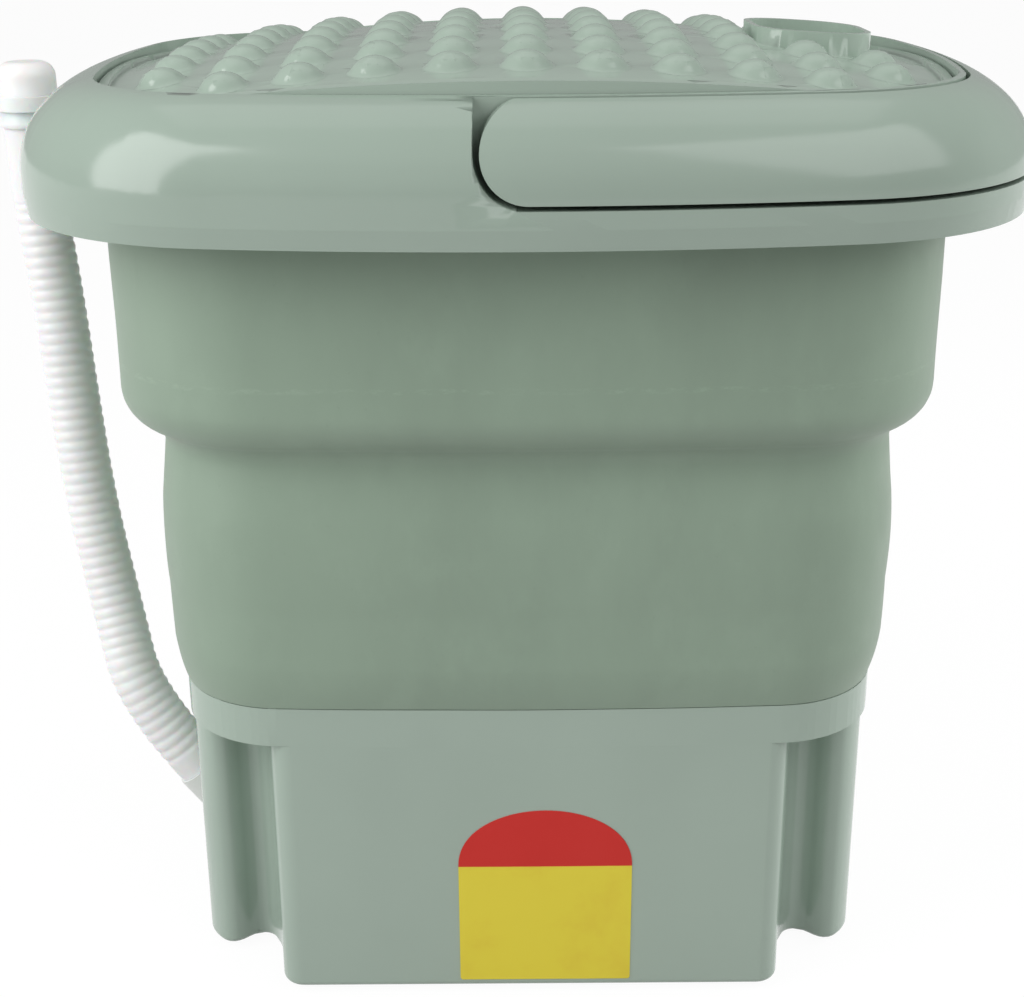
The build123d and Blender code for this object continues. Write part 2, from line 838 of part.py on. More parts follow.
with BuildPart() as power_inlet:
    with BuildSketch(inlet_plane):
        RectangleRounded(
            2 * (inlet_half_x + inlet_flange_reach), 2 * (inlet_half_z + inlet_flange_reach), inlet_corner
        )
    extrude(amount=inlet_flange)
    with BuildSketch(inlet_plane):
        Rectangle(2 * inlet_half_x, 2 * inlet_half_z)
    extrude(amount=-inlet_depth)
    with BuildSketch(inlet_plane.offset(inlet_flange)):
        RectangleRounded(2 * (inlet_half_x - inlet_wall), 2 * (inlet_half_z - inlet_wall), inlet_corner)
    extrude(amount=-inlet_recess, mode=Mode.SUBTRACT)
    with BuildSketch(inlet_plane.offset(inlet_flange - inlet_recess)):
        Circle(inlet_bore_radius)
        Circle(inlet_pin_radius, mode=Mode.SUBTRACT)
    extrude(amount=-inlet_bore_depth, mode=Mode.SUBTRACT)

# Drain pipe from the well down and out through the left side, ending in the hose spigot
elbow_corner = hose_start - exit_direction * elbow_run
with BuildLine() as pipe_route:
    FilletPolyline(
        (drain_x, drain_y, well_floor - shell_wall),
        (drain_x, drain_y, pipe_corner_z),
        elbow_corner,
        hose_start,
        radius=pipe_bend_radius,
    )
pipe_start = Plane(origin=(drain_x, drain_y, well_floor - shell_wall), z_dir=(0, 0, -1))

with BuildPart() as drain_elbow:
    with BuildSketch(pipe_start):
        Circle(pipe_radius)
    sweep(path=pipe_route.wire())
    with BuildSketch(outlet_plane):
        Circle(outlet_radius)
    extrude(amount=-outlet_length)
    with BuildSketch(outlet_plane):
        Circle(spigot_radius)
    extrude(amount=spigot_length)
    with BuildSketch(pipe_start):
        Circle(pipe_bore_radius)
    sweep(path=pipe_route.wire(), mode=Mode.SUBTRACT)
    with BuildSketch(outlet_plane):
        Circle(pipe_bore_radius)
    extrude(amount=spigot_length, mode=Mode.SUBTRACT)

# Soft wall, one moulding whose two folds turn over when the tub is pressed flat
tongue_outer = -shell_wall - seat_gap
tongue_inner = tongue_outer - soft_wall
seam_bottom = collar_top + seat_gap
seam_top = collar_top + seam_round_height
step_corner = wall_upper - wall_neck - step_valley
corner_z = step_top - step_corner
diagonal = sin(radians(45))

with BuildPart() as foot_fold:
    with BuildSketch(section_plane(collar_path)):
        with BuildLine():
            Polyline(
                (tongue_inner, seam_bottom + soft_wall),
                (tongue_inner, deck_bottom + seat_gap),
                (tongue_outer, deck_bottom + seat_gap),
                (tongue_outer, seam_bottom),
                (wall_seam, seam_bottom),
            )
            ThreePointArc(
                (wall_seam, seam_bottom),
                ((wall_seam + wall_low) / 2 + seam_swell, (seam_bottom + seam_top) / 2 - seam_swell),
                (wall_low, seam_top),
            )
            Polyline(
                (wall_low, seam_top),
                (wall_bulge, ring_bottom),
                (wall_bulge - soft_wall, ring_bottom),
                (wall_low - soft_wall, seam_top),
                (tongue_inner, seam_bottom + soft_wall),
            )
        make_face()
    sweep(path=collar_path)

with BuildPart() as lower_wall:
    with BuildSketch(section_plane(collar_path)):
        with BuildLine():
            ThreePointArc(
                (wall_bulge, ring_bottom),
                (wall_bulge + wall_crown, (ring_bottom + ring_top) / 2),
                (wall_bulge, ring_top),
            )
            Line((wall_bulge, ring_top), (wall_bulge - soft_wall, ring_top))
            ThreePointArc(
                (wall_bulge - soft_wall, ring_top),
                (wall_bulge + wall_crown - soft_wall, (ring_bottom + ring_top) / 2),
                (wall_bulge - soft_wall, ring_bottom),
            )
            Line((wall_bulge - soft_wall, ring_bottom), (wall_bulge, ring_bottom))
        make_face()
    sweep(path=collar_path)

with BuildPart() as step_fold:
    with BuildSketch(section_plane(collar_path)):
        with BuildLine():
            Line((wall_bulge, ring_top), (wall_neck, corner_z - step_valley))
            ThreePointArc(
                (wall_neck, corner_z - step_valley),
                (wall_neck + step_valley * (1 - diagonal), corner_z - step_valley * (1 - diagonal)),
                (wall_neck + step_valley, corner_z),
            )
            ThreePointArc(
                (wall_neck + step_valley, corner_z),
                (wall_upper - step_corner * (1 - diagonal), step_top - step_corner * diagonal),
                (wall_upper, step_top),
            )
            Line((wall_upper, step_top), (wall_upper - soft_wall, step_top))
            ThreePointArc(
                (wall_upper - soft_wall, step_top),
                (
                    wall_upper - step_corner + (step_corner - soft_wall) * diagonal,
                    step_top - (step_corner - soft_wall) * diagonal,
                ),
                (wall_neck + step_valley, corner_z + soft_wall),
            )
            ThreePointArc(
                (wall_neck + step_valley, corner_z + soft_wall),
                (
                    wall_neck + step_valley - (step_valley + soft_wall) * diagonal,
                    corner_z - step_valley + (step_valley + soft_wall) * diagonal,
                ),
                (wall_neck - soft_wall, corner_z - step_valley),
            )
            Polyline(
                (wall_neck - soft_wall, corner_z - step_valley),
                (wall_bulge - soft_wall, ring_top),
                (wall_bulge, ring_top),
            )
        make_face()
    sweep(path=collar_path)

clamp_top = plate_bottom - soft_wall
screw_x = collar_half_x + wall_upper + flange_reach / 2
screw_y = collar_half_y + wall_upper + flange_reach / 2
rim_screw_points = [(i * rim_screw_x, j * (screw_y - collar_bow / 2)) for i in (-1, 1) for j in (-1, 1)]
rim_screw_points += [(0, j * screw_y) for j in (-1, 1)]
rim_screw_points += [(i * (screw_x - collar_bow / 4), j * rim_screw_y) for i in (-1, 1) for j in (-1, 1)]

with BuildPart() as upper_wall:
    with BuildSketch(Plane.XY.offset(step_top)):
        add(collar_plan(wall_upper))
        add(collar_plan(wall_upper - soft_wall), mode=Mode.SUBTRACT)
    extrude(amount=clamp_top - step_top)
    with BuildSketch(Plane.XY.offset(clamp_top)):
        add(collar_plan(wall_upper + flange_reach))
        add(collar_plan(wall_upper - soft_wall), mode=Mode.SUBTRACT)
        with Locations(*rim_screw_points):
            Circle(rim_screw_radius, mode=Mode.SUBTRACT)
    extrude(amount=soft_wall)

with BuildPart() as wall_clamp_ring:
    with BuildSketch(Plane.XY.offset(clamp_bottom)):
        add(collar_plan(wall_upper + clamp_reach))
        add(collar_plan(wall_upper + seat_gap), mode=Mode.SUBTRACT)
        with Locations(*rim_screw_points):
            Circle(rim_screw_radius, mode=Mode.SUBTRACT)
    extrude(amount=clamp_height)

with BuildPart() as rim_screws:
    with BuildSketch(Plane.XY.offset(clamp_bottom)):
        with Locations(*rim_screw_points):
            Circle(rim_screw_head_radius)
    extrude(amount=-rim_screw_head_height)
    with BuildSketch(Plane.XY.offset(clamp_bottom)):
        with Locations(*rim_screw_points):
            Circle(rim_screw_radius)
    extrude(amount=clamp_height + soft_wall + rim_screw_bite)

with BuildSketch() as mouth_opening:
    add(rim_plan(-rim_band))
    add(collar_plan(wall_upper - soft_wall), mode=Mode.INTERSECT)

# Rim: hollow bullnose on a plate, cut away on the right for the swinging handle
crown_z = rim_top - sqrt(bullnose_radius**2 - (bullnose_radius - rim_band) ** 2)
recess_radius = handle_disc_radius + handle_end_gap
handle_offset = -(rim_band - inner_wall - handle_gap)
reach_y = rim_half_y + cut_overrun
reach_x = rim_half_x + cut_overrun


# Height of the rounded top at an inset from the rim outline, or of the skin's inner face
def crown_height(inset, skin=0.0):
    return crown_z + sqrt((bullnose_radius - skin) ** 2 - (bullnose_radius - inset) ** 2)


with BuildSketch(Plane.XZ) as recess_side:
    with Locations((0, pivot_z)):
        Circle(recess_radius)
        Rectangle(recess_radius, rim_top - pivot_z + cut_overrun, align=(Align.MAX, Align.MIN))
    with Locations((0, plate_top)):
        Rectangle(reach_x, rim_top - plate_top + cut_overrun, align=(Align.MIN, Align.MIN))
        Rectangle(2 * recess_radius, recess_radius, align=(Align.CENTER, Align.MAX), mode=Mode.SUBTRACT)

with BuildPart() as recess_cutter:
    extrude(recess_side.sketch, amount=reach_y, both=True)
    with BuildSketch(Plane.XY.offset(plate_top)):
        add(rim_plan(inner_wall - rim_band))
    extrude(amount=rim_top - plate_top + cut_overrun, mode=Mode.SUBTRACT)

with BuildSketch(Plane.XZ) as end_wall_side:
    with Locations((0, pivot_z)):
        Circle(recess_radius + inner_wall)
        Rectangle(recess_radius + inner_wall, rim_top - pivot_z, align=(Align.MAX, Align.MIN))
    with Locations((0, plate_bottom)):
        Rectangle(2 * reach_x, recess_radius, align=(Align.CENTER, Align.MAX), mode=Mode.SUBTRACT)
        Rectangle(reach_x, rim_top, align=(Align.MIN, Align.MIN), mode=Mode.SUBTRACT)
    add(recess_side.sketch_local, mode=Mode.SUBTRACT)

with BuildPart() as rim_block:
    with BuildSketch(section_plane(rim_path)):
        with BuildLine():
            Polyline(
                (0, crown_z),
                (0, plate_bottom),
                (-rim_band, plate_bottom),
                (-rim_band, rim_top),
            )
            ThreePointArc(
                (-rim_band, rim_top),
                (-bullnose_radius * (1 - diagonal), crown_z + bullnose_radius * diagonal),
                (0, crown_z),
            )
        make_face()
    sweep(path=rim_path)

with BuildPart() as recess_ends:
    add(rim_block.part)
    extrude(end_wall_side.sketch, amount=reach_y, both=True, mode=Mode.INTERSECT)

pivot_plane = Plane(origin=(0, 0, pivot_z), x_dir=(1, 0, 0), z_dir=(0, -1, 0))
pin_inner = rim_half_y - rim_band - ledge_width
with BuildPart() as rim_shell:
    with BuildSketch(section_plane(rim_path)):
        with BuildLine():
            Polyline(
                (0, crown_z),
                (0, rim_bottom + rim_edge_height),
                (-rim_edge_inset, rim_bottom),
                (-rim_wall, rim_bottom),
                (-rim_wall, crown_z),
            )
            ThreePointArc(
                (-rim_wall, crown_z),
                (
                    -bullnose_radius + (bullnose_radius - rim_wall) * diagonal,
                    crown_z + (bullnose_radius - rim_wall) * diagonal,
                ),
                (inner_wall - rim_band, crown_height(rim_band - inner_wall, rim_wall)),
            )
            Polyline(
                (inner_wall - rim_band, crown_height(rim_band - inner_wall, rim_wall)),
                (inner_wall - rim_band, plate_bottom),
                (-rim_band, plate_bottom),
                (-rim_band, rim_top),
            )
            ThreePointArc(
                (-rim_band, rim_top),
                (-bullnose_radius * (1 - diagonal), crown_z + bullnose_radius * diagonal),
                (0, crown_z),
            )
        make_face()
    sweep(path=rim_path)
    with BuildSketch(Plane.XY.offset(plate_bottom)):
        add(rim_plan(-rim_wall / 2))
        add(mouth_opening.sketch, mode=Mode.SUBTRACT)
    extrude(amount=rim_plate_thickness)
    with BuildSketch(Plane.XY.offset(ledge_top)):
        add(rim_plan(-rim_band))
        add(rim_plan(-rim_band - ledge_width), mode=Mode.SUBTRACT)
    extrude(amount=-ledge_thickness)
    add(recess_cutter.part, mode=Mode.SUBTRACT)
    add(recess_ends.part)
    with BuildSketch(pivot_plane.offset(pin_inner), pivot_plane.offset(-pin_inner - ledge_width)):
        Circle(pivot_boss_radius)
    extrude(amount=ledge_width)
    with BuildSketch(pivot_plane):
        Circle(pin_radius + pin_gap)
    extrude(amount=reach_y, both=True, mode=Mode.SUBTRACT)
    with BuildSketch(Plane.XY.offset(plate_bottom)):
        with Locations(*rim_screw_points):
            Circle(rim_screw_radius)
    extrude(amount=rim_screw_bite, mode=Mode.SUBTRACT)

# Handle: the right half of the bullnose, ribbed inside and solid round its pivots
with BuildSketch(Plane.XZ) as handle_side:
    with Locations((0, pivot_z)):
        Circle(handle_disc_radius)
    with Locations((0, handle_bottom)):
        Rectangle(reach_x, rim_top - handle_bottom, align=(Align.MIN, Align.MIN))

pin_outer = rim_half_y + handle_offset + handle_pin_bite
core_radius = bullnose_radius - handle_wall
core_inner = handle_offset + handle_wall
core_top = crown_height(-core_inner, handle_wall)
handle_top = crown_height(-handle_offset)
with BuildPart() as handle_core:
    with BuildSketch(section_plane(rim_path)):
        with BuildLine():
            Line((-handle_wall, handle_bottom), (-handle_wall, crown_z))
            ThreePointArc(
                (-handle_wall, crown_z),
                (core_radius * diagonal - bullnose_radius, crown_z + core_radius * diagonal),
                (core_inner, core_top),
            )
            Polyline((core_inner, core_top), (core_inner, handle_bottom), (-handle_wall, handle_bottom))
        make_face()
    sweep(path=rim_path)
    with BuildSketch(Plane.XZ):
        with Locations((handle_boss_x, handle_bottom)):
            Rectangle(reach_x, rim_top, align=(Align.MIN, Align.MIN))
    extrude(amount=reach_y, both=True, mode=Mode.INTERSECT)
    with BuildSketch(Plane.XY.offset(handle_bottom)):
        with Locations(*[(i * handle_rib_x, 0) for i in (1, 2, 3)]):
            Rectangle(handle_rib, 2 * reach_y)
        with Locations(*[(reach_x, j * handle_rib_y) for j in (-1, 0, 1)]):
            Rectangle(2 * handle_rib_y, handle_rib)
    extrude(amount=rim_top, mode=Mode.SUBTRACT)

with BuildPart() as handle:
    with BuildSketch(section_plane(rim_path)):
        with BuildLine():
            Polyline(
                (0, crown_z),
                (0, handle_bottom),
                (handle_offset, handle_bottom),
                (handle_offset, handle_top),
            )
            ThreePointArc(
                (handle_offset, handle_top),
                (-bullnose_radius * (1 - diagonal), crown_z + bullnose_radius * diagonal),
                (0, crown_z),
            )
        make_face()
    sweep(path=rim_path)
    extrude(handle_side.sketch, amount=reach_y, both=True, mode=Mode.INTERSECT)
    add(handle_core.part, mode=Mode.SUBTRACT)
    with BuildSketch(pivot_plane.offset(pin_inner), pivot_plane.offset(-pin_outer)):
        Circle(pin_radius)
    extrude(amount=pin_outer - pin_inner, mode=Mode.SUBTRACT)

head_face = pin_inner - pin_head_gap
with BuildPart() as handle_pins:
    with BuildSketch(pivot_plane.offset(head_face), pivot_plane.offset(-pin_outer)):
        Circle(pin_radius)
    extrude(amount=pin_outer - head_face)
    with BuildSketch(pivot_plane.offset(head_face), pivot_plane.offset(-head_face + pin_head_height)):
        Circle(pin_head_radius)
    extrude(amount=-pin_head_height)

# Lid: shallow dome inside a raised lip, with rows of faceted bumps and a finger grip
dome_centre = lid_surface - lid_dome_radius
lid_offset = -rim_band - lid_gap
bump_columns_half = (bump_columns - 1) // 2


def dome_height(x, y, radius=lid_dome_radius):
    return dome_centre + sqrt(radius**2 - x**2 - y**2)


def clear_of_grip(x, y):
    return abs(x - grip_x) > grip_half_x + bump_radius or abs(y) > grip_half_y + bump_radius


bump_points = [
    (i * bump_pitch, (j - (bump_rows - 1) / 2) * bump_pitch)
    for i in range(-bump_columns_half, bump_columns_half + 1)
    for j in range(bump_rows)
    if not (abs(i) == bump_columns_half and j in (0, bump_rows - 1))
]
bump_points = [(x, y) for x, y in bump_points if clear_of_grip(x, y)]
grip_floor = dome_height(grip_x, 0) - grip_pocket
grip_top = dome_height(grip_x, 0) + grip_rise

with BuildPart() as bump:
    with BuildSketch(Plane.XY.offset(-lid_wall / 2)):
        RegularPolygon(bump_radius, bump_sides)
    with BuildSketch(Plane.XY):
        RegularPolygon(bump_radius, bump_sides)
    with BuildSketch(Plane.XY.offset(bump_shoulder_height)):
        RegularPolygon(bump_shoulder_radius, bump_sides)
    with BuildSketch(Plane.XY.offset(bump_height)):
        RegularPolygon(bump_crown_radius, bump_sides)
    loft(ruled=True)

with BuildPart() as lid_recess:
    with BuildSketch(Plane.XY.offset(ledge_top)):
        add(rim_plan(lid_offset - lid_lip_width))
    extrude(amount=2 * rim_band)
    with Locations((0, 0, dome_centre)):
        Sphere(lid_dome_radius, mode=Mode.SUBTRACT)

with BuildPart() as lid_hollow:
    with BuildSketch(Plane.XY.offset(ledge_top)):
        add(rim_plan(lid_offset - lid_wall))
    extrude(amount=2 * rim_band)
    with Locations((0, 0, dome_centre)):
        Sphere(lid_dome_radius - lid_wall, mode=Mode.INTERSECT)

with BuildPart() as lid:
    with BuildSketch(Plane.XY.offset(ledge_top)):
        add(rim_plan(lid_offset))
    extrude(amount=2 * rim_band)
    with Locations((0, 0, dome_centre)):
        Sphere(lid_dome_radius + lid_lip_height, mode=Mode.INTERSECT)
    add(lid_recess.part, mode=Mode.SUBTRACT)
    add(lid_hollow.part, mode=Mode.SUBTRACT)
    with Locations(*[(x, y, dome_height(x, y)) for x, y in bump_points]):
        add(bump.part)
    # Finger grip: raised ring round a pocket, higher towards the middle of the lid
    with BuildSketch(Plane((grip_x, 0, grip_floor - grip_wall))):
        RectangleRounded(2 * grip_half_x, 2 * grip_half_y, grip_corner)
    extrude(amount=grip_top + grip_slope - grip_floor + grip_wall)
    with BuildSketch(Plane((grip_x, 0, grip_floor))):
        RectangleRounded(
            2 * (grip_half_x - grip_wall), 2 * (grip_half_y - grip_wall), grip_corner - grip_wall
        )
    extrude(amount=grip_top + grip_slope - grip_floor, mode=Mode.SUBTRACT)
    with BuildSketch(Plane.XZ):
        with BuildLine():
            Polyline(
                (grip_x - grip_half_x, grip_top + grip_slope),
                (grip_x + grip_half_x, grip_top),
                (grip_x + grip_half_x, grip_top + 2 * grip_slope),
                (grip_x - grip_half_x, grip_top + 2 * grip_slope),
                close=True,
            )
        make_face()
    extrude(amount=grip_half_y, both=True, mode=Mode.SUBTRACT)

# Drain hose: plain ends, ribs between, and an upright top end
hose_points = [
    hose_start,
    hose_start + exit_direction * hose_first_run,
    Vector(-180.5, 3, 124),
    Vector(-190, 13, 168),
    Vector(-195.5, 21, 214),
    Vector(-200, 28, 262),
    Vector(hose_top_x, hose_top_y, hose_top_z - hose_last_run),
    Vector(hose_top_x, hose_top_y, hose_top_z),
]
hose_runs = [(b - a).length for a, b in zip(hose_points, hose_points[1:])]
hose_turns = [(b - a).get_angle(c - b) for a, b, c in zip(hose_points, hose_points[1:], hose_points[2:])]
hose_radii = [
    hose_fillet_share * min(before, after) / tan(radians(turn / 2))
    for before, after, turn in zip(hose_runs, hose_runs[1:], hose_turns)
]
with BuildLine() as hose_route:
    FilletPolyline(*hose_points, radius=hose_radii)
hose_line = hose_route.wire()
hose_length = hose_line.length


# Plane across the hose at a distance along it, with its x axis kept level
def across_hose(distance):
    along = hose_line % (distance / hose_length)
    return Plane(origin=hose_line @ (distance / hose_length), x_dir=Vector(0, 1, 0).cross(along), z_dir=along)


ribbed_length = hose_length - hose_plain_foot - hose_plain_top
hose_rib_count = int(ribbed_length / rib_pitch)
rib_step = ribbed_length / hose_rib_count
valley = hose_radius - rib_depth
rings = [(0, hose_radius), (hose_plain_foot, hose_radius)]
for i in range(hose_rib_count):
    start = hose_plain_foot + i * rib_step
    rings.append((start + rib_step * rib_valley_start, valley))
    rings.append((start + rib_step * rib_valley_end, valley))
    rings.append((start + rib_step * rib_crest_start, hose_radius))
    rings.append((start + rib_step, hose_radius))
rings += [(hose_length - 2 * hose_radius, hose_radius), (hose_length, hose_radius)]

with BuildPart() as hose_bore:
    for i in range(bore_steps + 1):
        with BuildSketch(across_hose(hose_length * i / bore_steps)):
            Circle(hose_bore_radius)
    loft(ruled=True)

with BuildPart() as drain_hose:
    for distance, radius in rings:
        with BuildSketch(across_hose(distance)):
            Circle(radius)
    loft(ruled=True)
    add(hose_bore.part, mode=Mode.SUBTRACT)

# Cap on the hose's top end, and the open clip on the rim that holds it
cap_radius = hose_radius + cap_gap + cap_wall
cap_base = hose_top_z - cap_overlap
clip_top = rim_top - clip_drop
clip_inner = cap_radius + clip_gap
with BuildPart() as hose_cap:
    with BuildSketch(Plane((hose_top_x, hose_top_y, cap_base))):
        Circle(cap_radius)
    extrude(amount=hose_cap_length)
    fillet(hose_cap.faces().sort_by(Axis.Z)[-1].edges(), cap_edge_radius)
    with BuildSketch(Plane((hose_top_x, hose_top_y, cap_base))):
        Circle(hose_radius + cap_gap)
    extrude(amount=hose_cap_length - cap_end, mode=Mode.SUBTRACT)

with BuildPart() as hose_clip:
    with BuildSketch(Plane((hose_top_x, hose_top_y, clip_top - clip_height))):
        Circle(clip_inner + clip_wall)
        Rectangle(clip_reach, clip_stem, align=(Align.MIN, Align.CENTER))
        Circle(clip_inner, mode=Mode.SUBTRACT)
        with Locations((-clip_inner, 0)):
            Rectangle(2 * clip_inner, 2 * clip_inner * sin(radians(clip_opening / 2)), mode=Mode.SUBTRACT)
    extrude(amount=clip_height)
    add(rim_block.part, mode=Mode.SUBTRACT)

pieces = {
    "base_housing": base_housing,
    "rubber_feet": rubber_feet,
    "base_screws": base_screws,
    "tub_floor": tub_floor,
    "drain_strainer": drain_strainer,
    "pulsator": pulsator,
    "pulsator_cap": pulsator_cap,
    "pulsator_shaft": pulsator_shaft,
    "shaft_bushes": shaft_bushes,
    "shaft_seal": shaft_seal,
    "driven_pulley": driven_pulley,
    "motor_can": motor_can,
    "motor_bracket": motor_bracket,
    "motor_screws": motor_screws,
    "motor_shaft": motor_shaft,
    "motor_pulley": motor_pulley,
    "drive_belt": drive_belt,
    "control_panel": control_panel,
    "power_button": power_button,
    "mode_button": mode_button,
    "indicator_lens": indicator_lens,
    "control_board": control_board,
    "power_inlet": power_inlet,
    "drain_elbow": drain_elbow,
    "foot_fold": foot_fold,
    "lower_wall": lower_wall,
    "step_fold": step_fold,
    "upper_wall": upper_wall,
    "wall_clamp_ring": wall_clamp_ring,
    "rim_screws": rim_screws,
    "rim_shell": rim_shell,
    "handle": handle,
    "handle_pins": handle_pins,
    "lid": lid,
    "drain_hose": drain_hose,
    "hose_cap": hose_cap,
    "hose_clip": hose_clip,
}
for name, piece in pieces.items():
    piece.part.label = name
    export_step(piece.part, f"parts/{name}.step")

print("hose length", round(hose_length, 1), "ribs", hose_rib_count)
print("hose corner radii", [round(radius) for radius in hose_radii])
print("hose volume", round(drain_hose.part.volume))
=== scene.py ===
import json
import math

import bmesh
import bpy
from mathutils import Matrix, Vector, noise

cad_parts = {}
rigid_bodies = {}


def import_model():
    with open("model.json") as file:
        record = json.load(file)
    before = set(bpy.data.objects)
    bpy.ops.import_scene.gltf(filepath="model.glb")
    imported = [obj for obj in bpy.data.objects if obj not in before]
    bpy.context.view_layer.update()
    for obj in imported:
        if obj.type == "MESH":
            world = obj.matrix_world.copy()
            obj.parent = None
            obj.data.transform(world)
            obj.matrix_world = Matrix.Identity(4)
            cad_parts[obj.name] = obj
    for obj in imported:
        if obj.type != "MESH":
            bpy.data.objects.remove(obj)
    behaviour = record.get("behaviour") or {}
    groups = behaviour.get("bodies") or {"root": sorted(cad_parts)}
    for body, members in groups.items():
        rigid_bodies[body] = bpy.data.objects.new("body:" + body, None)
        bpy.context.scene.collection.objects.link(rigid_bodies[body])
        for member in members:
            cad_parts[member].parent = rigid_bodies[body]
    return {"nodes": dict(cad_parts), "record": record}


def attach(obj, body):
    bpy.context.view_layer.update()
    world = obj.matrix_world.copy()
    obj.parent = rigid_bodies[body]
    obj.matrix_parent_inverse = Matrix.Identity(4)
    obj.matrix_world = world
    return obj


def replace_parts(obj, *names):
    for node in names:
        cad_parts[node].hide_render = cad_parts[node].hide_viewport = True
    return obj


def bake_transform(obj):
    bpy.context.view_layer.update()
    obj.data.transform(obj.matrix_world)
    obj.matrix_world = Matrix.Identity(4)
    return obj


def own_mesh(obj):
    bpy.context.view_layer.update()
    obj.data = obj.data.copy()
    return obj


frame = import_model()
nodes = frame["nodes"]
bodyOf = {name: body for body, names in frame["record"]["behaviour"]["bodies"].items() for name in names}
slotOf = {row["node"]: row["material_slot"] for row in frame["record"]["subparts"]}
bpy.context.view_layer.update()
print("frame loaded:", len(nodes), "CAD nodes")

mm = 0.001


# Camera first: same place and lens as the photograph's
cameraSettings = {
    "place": (-6.0, -682.8, 429.8),
    "pitchDown": 20.41,
    "roll": -0.4,
    "lens": 59.52,
}


def makeCamera(s):
    data = bpy.data.cameras.new("photoCamera")
    data.lens = s["lens"]
    data.sensor_width = 36.0
    data.clip_start, data.clip_end = 0.02, 20.0
    camera = bpy.data.objects.new("photoCamera", data)
    bpy.context.scene.collection.objects.link(camera)
    camera.location = Vector(s["place"]) * mm
    turn = Matrix.Rotation(math.radians(90 - s["pitchDown"]), 4, "X")
    camera.rotation_euler = (turn @ Matrix.Rotation(math.radians(s["roll"]), 4, "Z")).to_euler()
    bpy.context.scene.camera = camera


makeCamera(cameraSettings)
bpy.context.scene.view_settings.view_transform = "Standard"


# Shader wire: a socket that takes part in Python sums
class Wire:
    def __init__(self, finish, socket):
        self.finish = finish
        self.socket = socket

    def sum(self, operation, other=None, flip=False, limit=False):
        values = [self] if other is None else [other, self] if flip else [self, other]
        return self.finish.node("ShaderNodeMath", {"operation": operation, "use_clamp": limit}, values)

    def __add__(self, other):
        return self.sum("ADD", other)

    def __radd__(self, other):
        return self.sum("ADD", other, flip=True)

    def __sub__(self, other):
        return self.sum("SUBTRACT", other)

    def __rsub__(self, other):
        return self.sum("SUBTRACT", other, flip=True)

    def __mul__(self, other):
        return self.sum("MULTIPLY", other)

    def __rmul__(self, other):
        return self.sum("MULTIPLY", other, flip=True)

    def __abs__(self):
        return self.sum("ABSOLUTE")

    def clamped(self):
        return self.sum("ADD", 0.0, limit=True)

    # 0 below low, 1 above high, eased between
    def step(self, low, high):
        settings, values = {"interpolation_type": "SMOOTHSTEP"}, [self, low, high, 0.0, 1.0]
        return self.finish.node("ShaderNodeMapRange", settings, values)


shaderInputs = {
    "baseColor": "Base Color",
    "roughness": "Roughness",
    "metallic": "Metallic",
    "normal": "Normal",
    "coat": "Coat Weight",
    "sheen": "Sheen Weight",
    "sheenRoughness": "Sheen Roughness",
    "scatter": "Subsurface Weight",
    "scatterScale": "Subsurface Scale",
}


# One material: its Principled shader and one method that makes any node
class Finish:
    def __init__(self, name):
        self.material = bpy.data.materials.new(name)
        self.material.use_nodes = True
        self.tree = self.material.node_tree
        self.shader = self.tree.nodes["Principled BSDF"]
        self.place = None

    def node(self, kind, settings=None, values=None, output=0):
        made = self.tree.nodes.new(kind)
        for key, value in (settings or {}).items():
            if key == "stops":
                ramp = made.color_ramp.elements
                while len(ramp) < len(value):
                    ramp.new(0.5)
                for stop, (position, colour) in zip(ramp, value):
                    stop.position = position
                    stop.color = (*colour, 1.0)
            else:
                setattr(made, key, value)
        pairs = values.items() if isinstance(values, dict) else enumerate(values or [])
        for key, value in pairs:
            self.feed(made.inputs[key], value)
        return Wire(self, made.outputs[output])

    def feed(self, socket, value):
        if isinstance(value, Wire):
            self.tree.links.new(value.socket, socket)
        elif socket.type == "RGBA" and len(value) == 3:
            socket.default_value = (*value, 1.0)
        else:
            socket.default_value = value

    def coords(self):
        if self.place is None:
            self.place = self.node("ShaderNodeTexCoord", output=3)
        return self.place

    def axes(self):
        split = self.node("ShaderNodeSeparateXYZ", None, [self.coords()]).socket.node
        return [Wire(self, split.outputs[i]) for i in range(3)]

    # noise on Object coordinates, stretched by how many cells there are in a metre along each axis
    def grain(self, cells, detail=3.0, roughness=0.5, seedShift=(0.0, 0.0, 0.0)):
        values = {"Vector": self.coords(), "Location": seedShift, "Scale": cells}
        scaled = self.node("ShaderNodeMapping", None, values)
        values = {"Vector": scaled, "Scale": 1.0, "Detail": detail, "Roughness": roughness}
        return self.node("ShaderNodeTexNoise", None, values)

    def mix(self, factor, first, second):
        return self.node("ShaderNodeMix", {"data_type": "RGBA"}, {0: factor, 6: first, 7: second}, output=2)

    def bump(self, height, distance, strength=1.0, normal=None):
        values = {"Height": height, "Distance": distance, "Strength": strength}
        if normal is not None:
            values["Normal"] = normal
        return self.node("ShaderNodeBump", None, values)

    def shade(self, **values):
        for key, value in values.items():
            self.feed(self.shader.inputs[shaderInputs[key]], value)
        return self.material


def tint(colour, factor):
    return tuple(min(1.0, c * factor) for c in colour)


# Hard moulded plastic: faint cloudiness, fine moulding grain and slightly uneven gloss
def mouldedPlastic(name, colour, gloss=0.3, cloud=0.03):
    f = Finish(name)
    clouds = f.grain((7, 7, 7), 3.0, 0.5)
    haze = f.grain((18, 18, 12), 2.0, 0.5, (3.1, 0.4, 1.7))
    body = f.mix(clouds.step(0.3, 0.7), tint(colour, 1 - cloud), tint(colour, 1 + cloud))
    grain = f.grain((1500, 1500, 1500), 2.0, 0.6)
    return f.shade(baseColor=body, roughness=gloss + haze * 0.05, normal=f.bump(grain, 0.00002, 0.3))


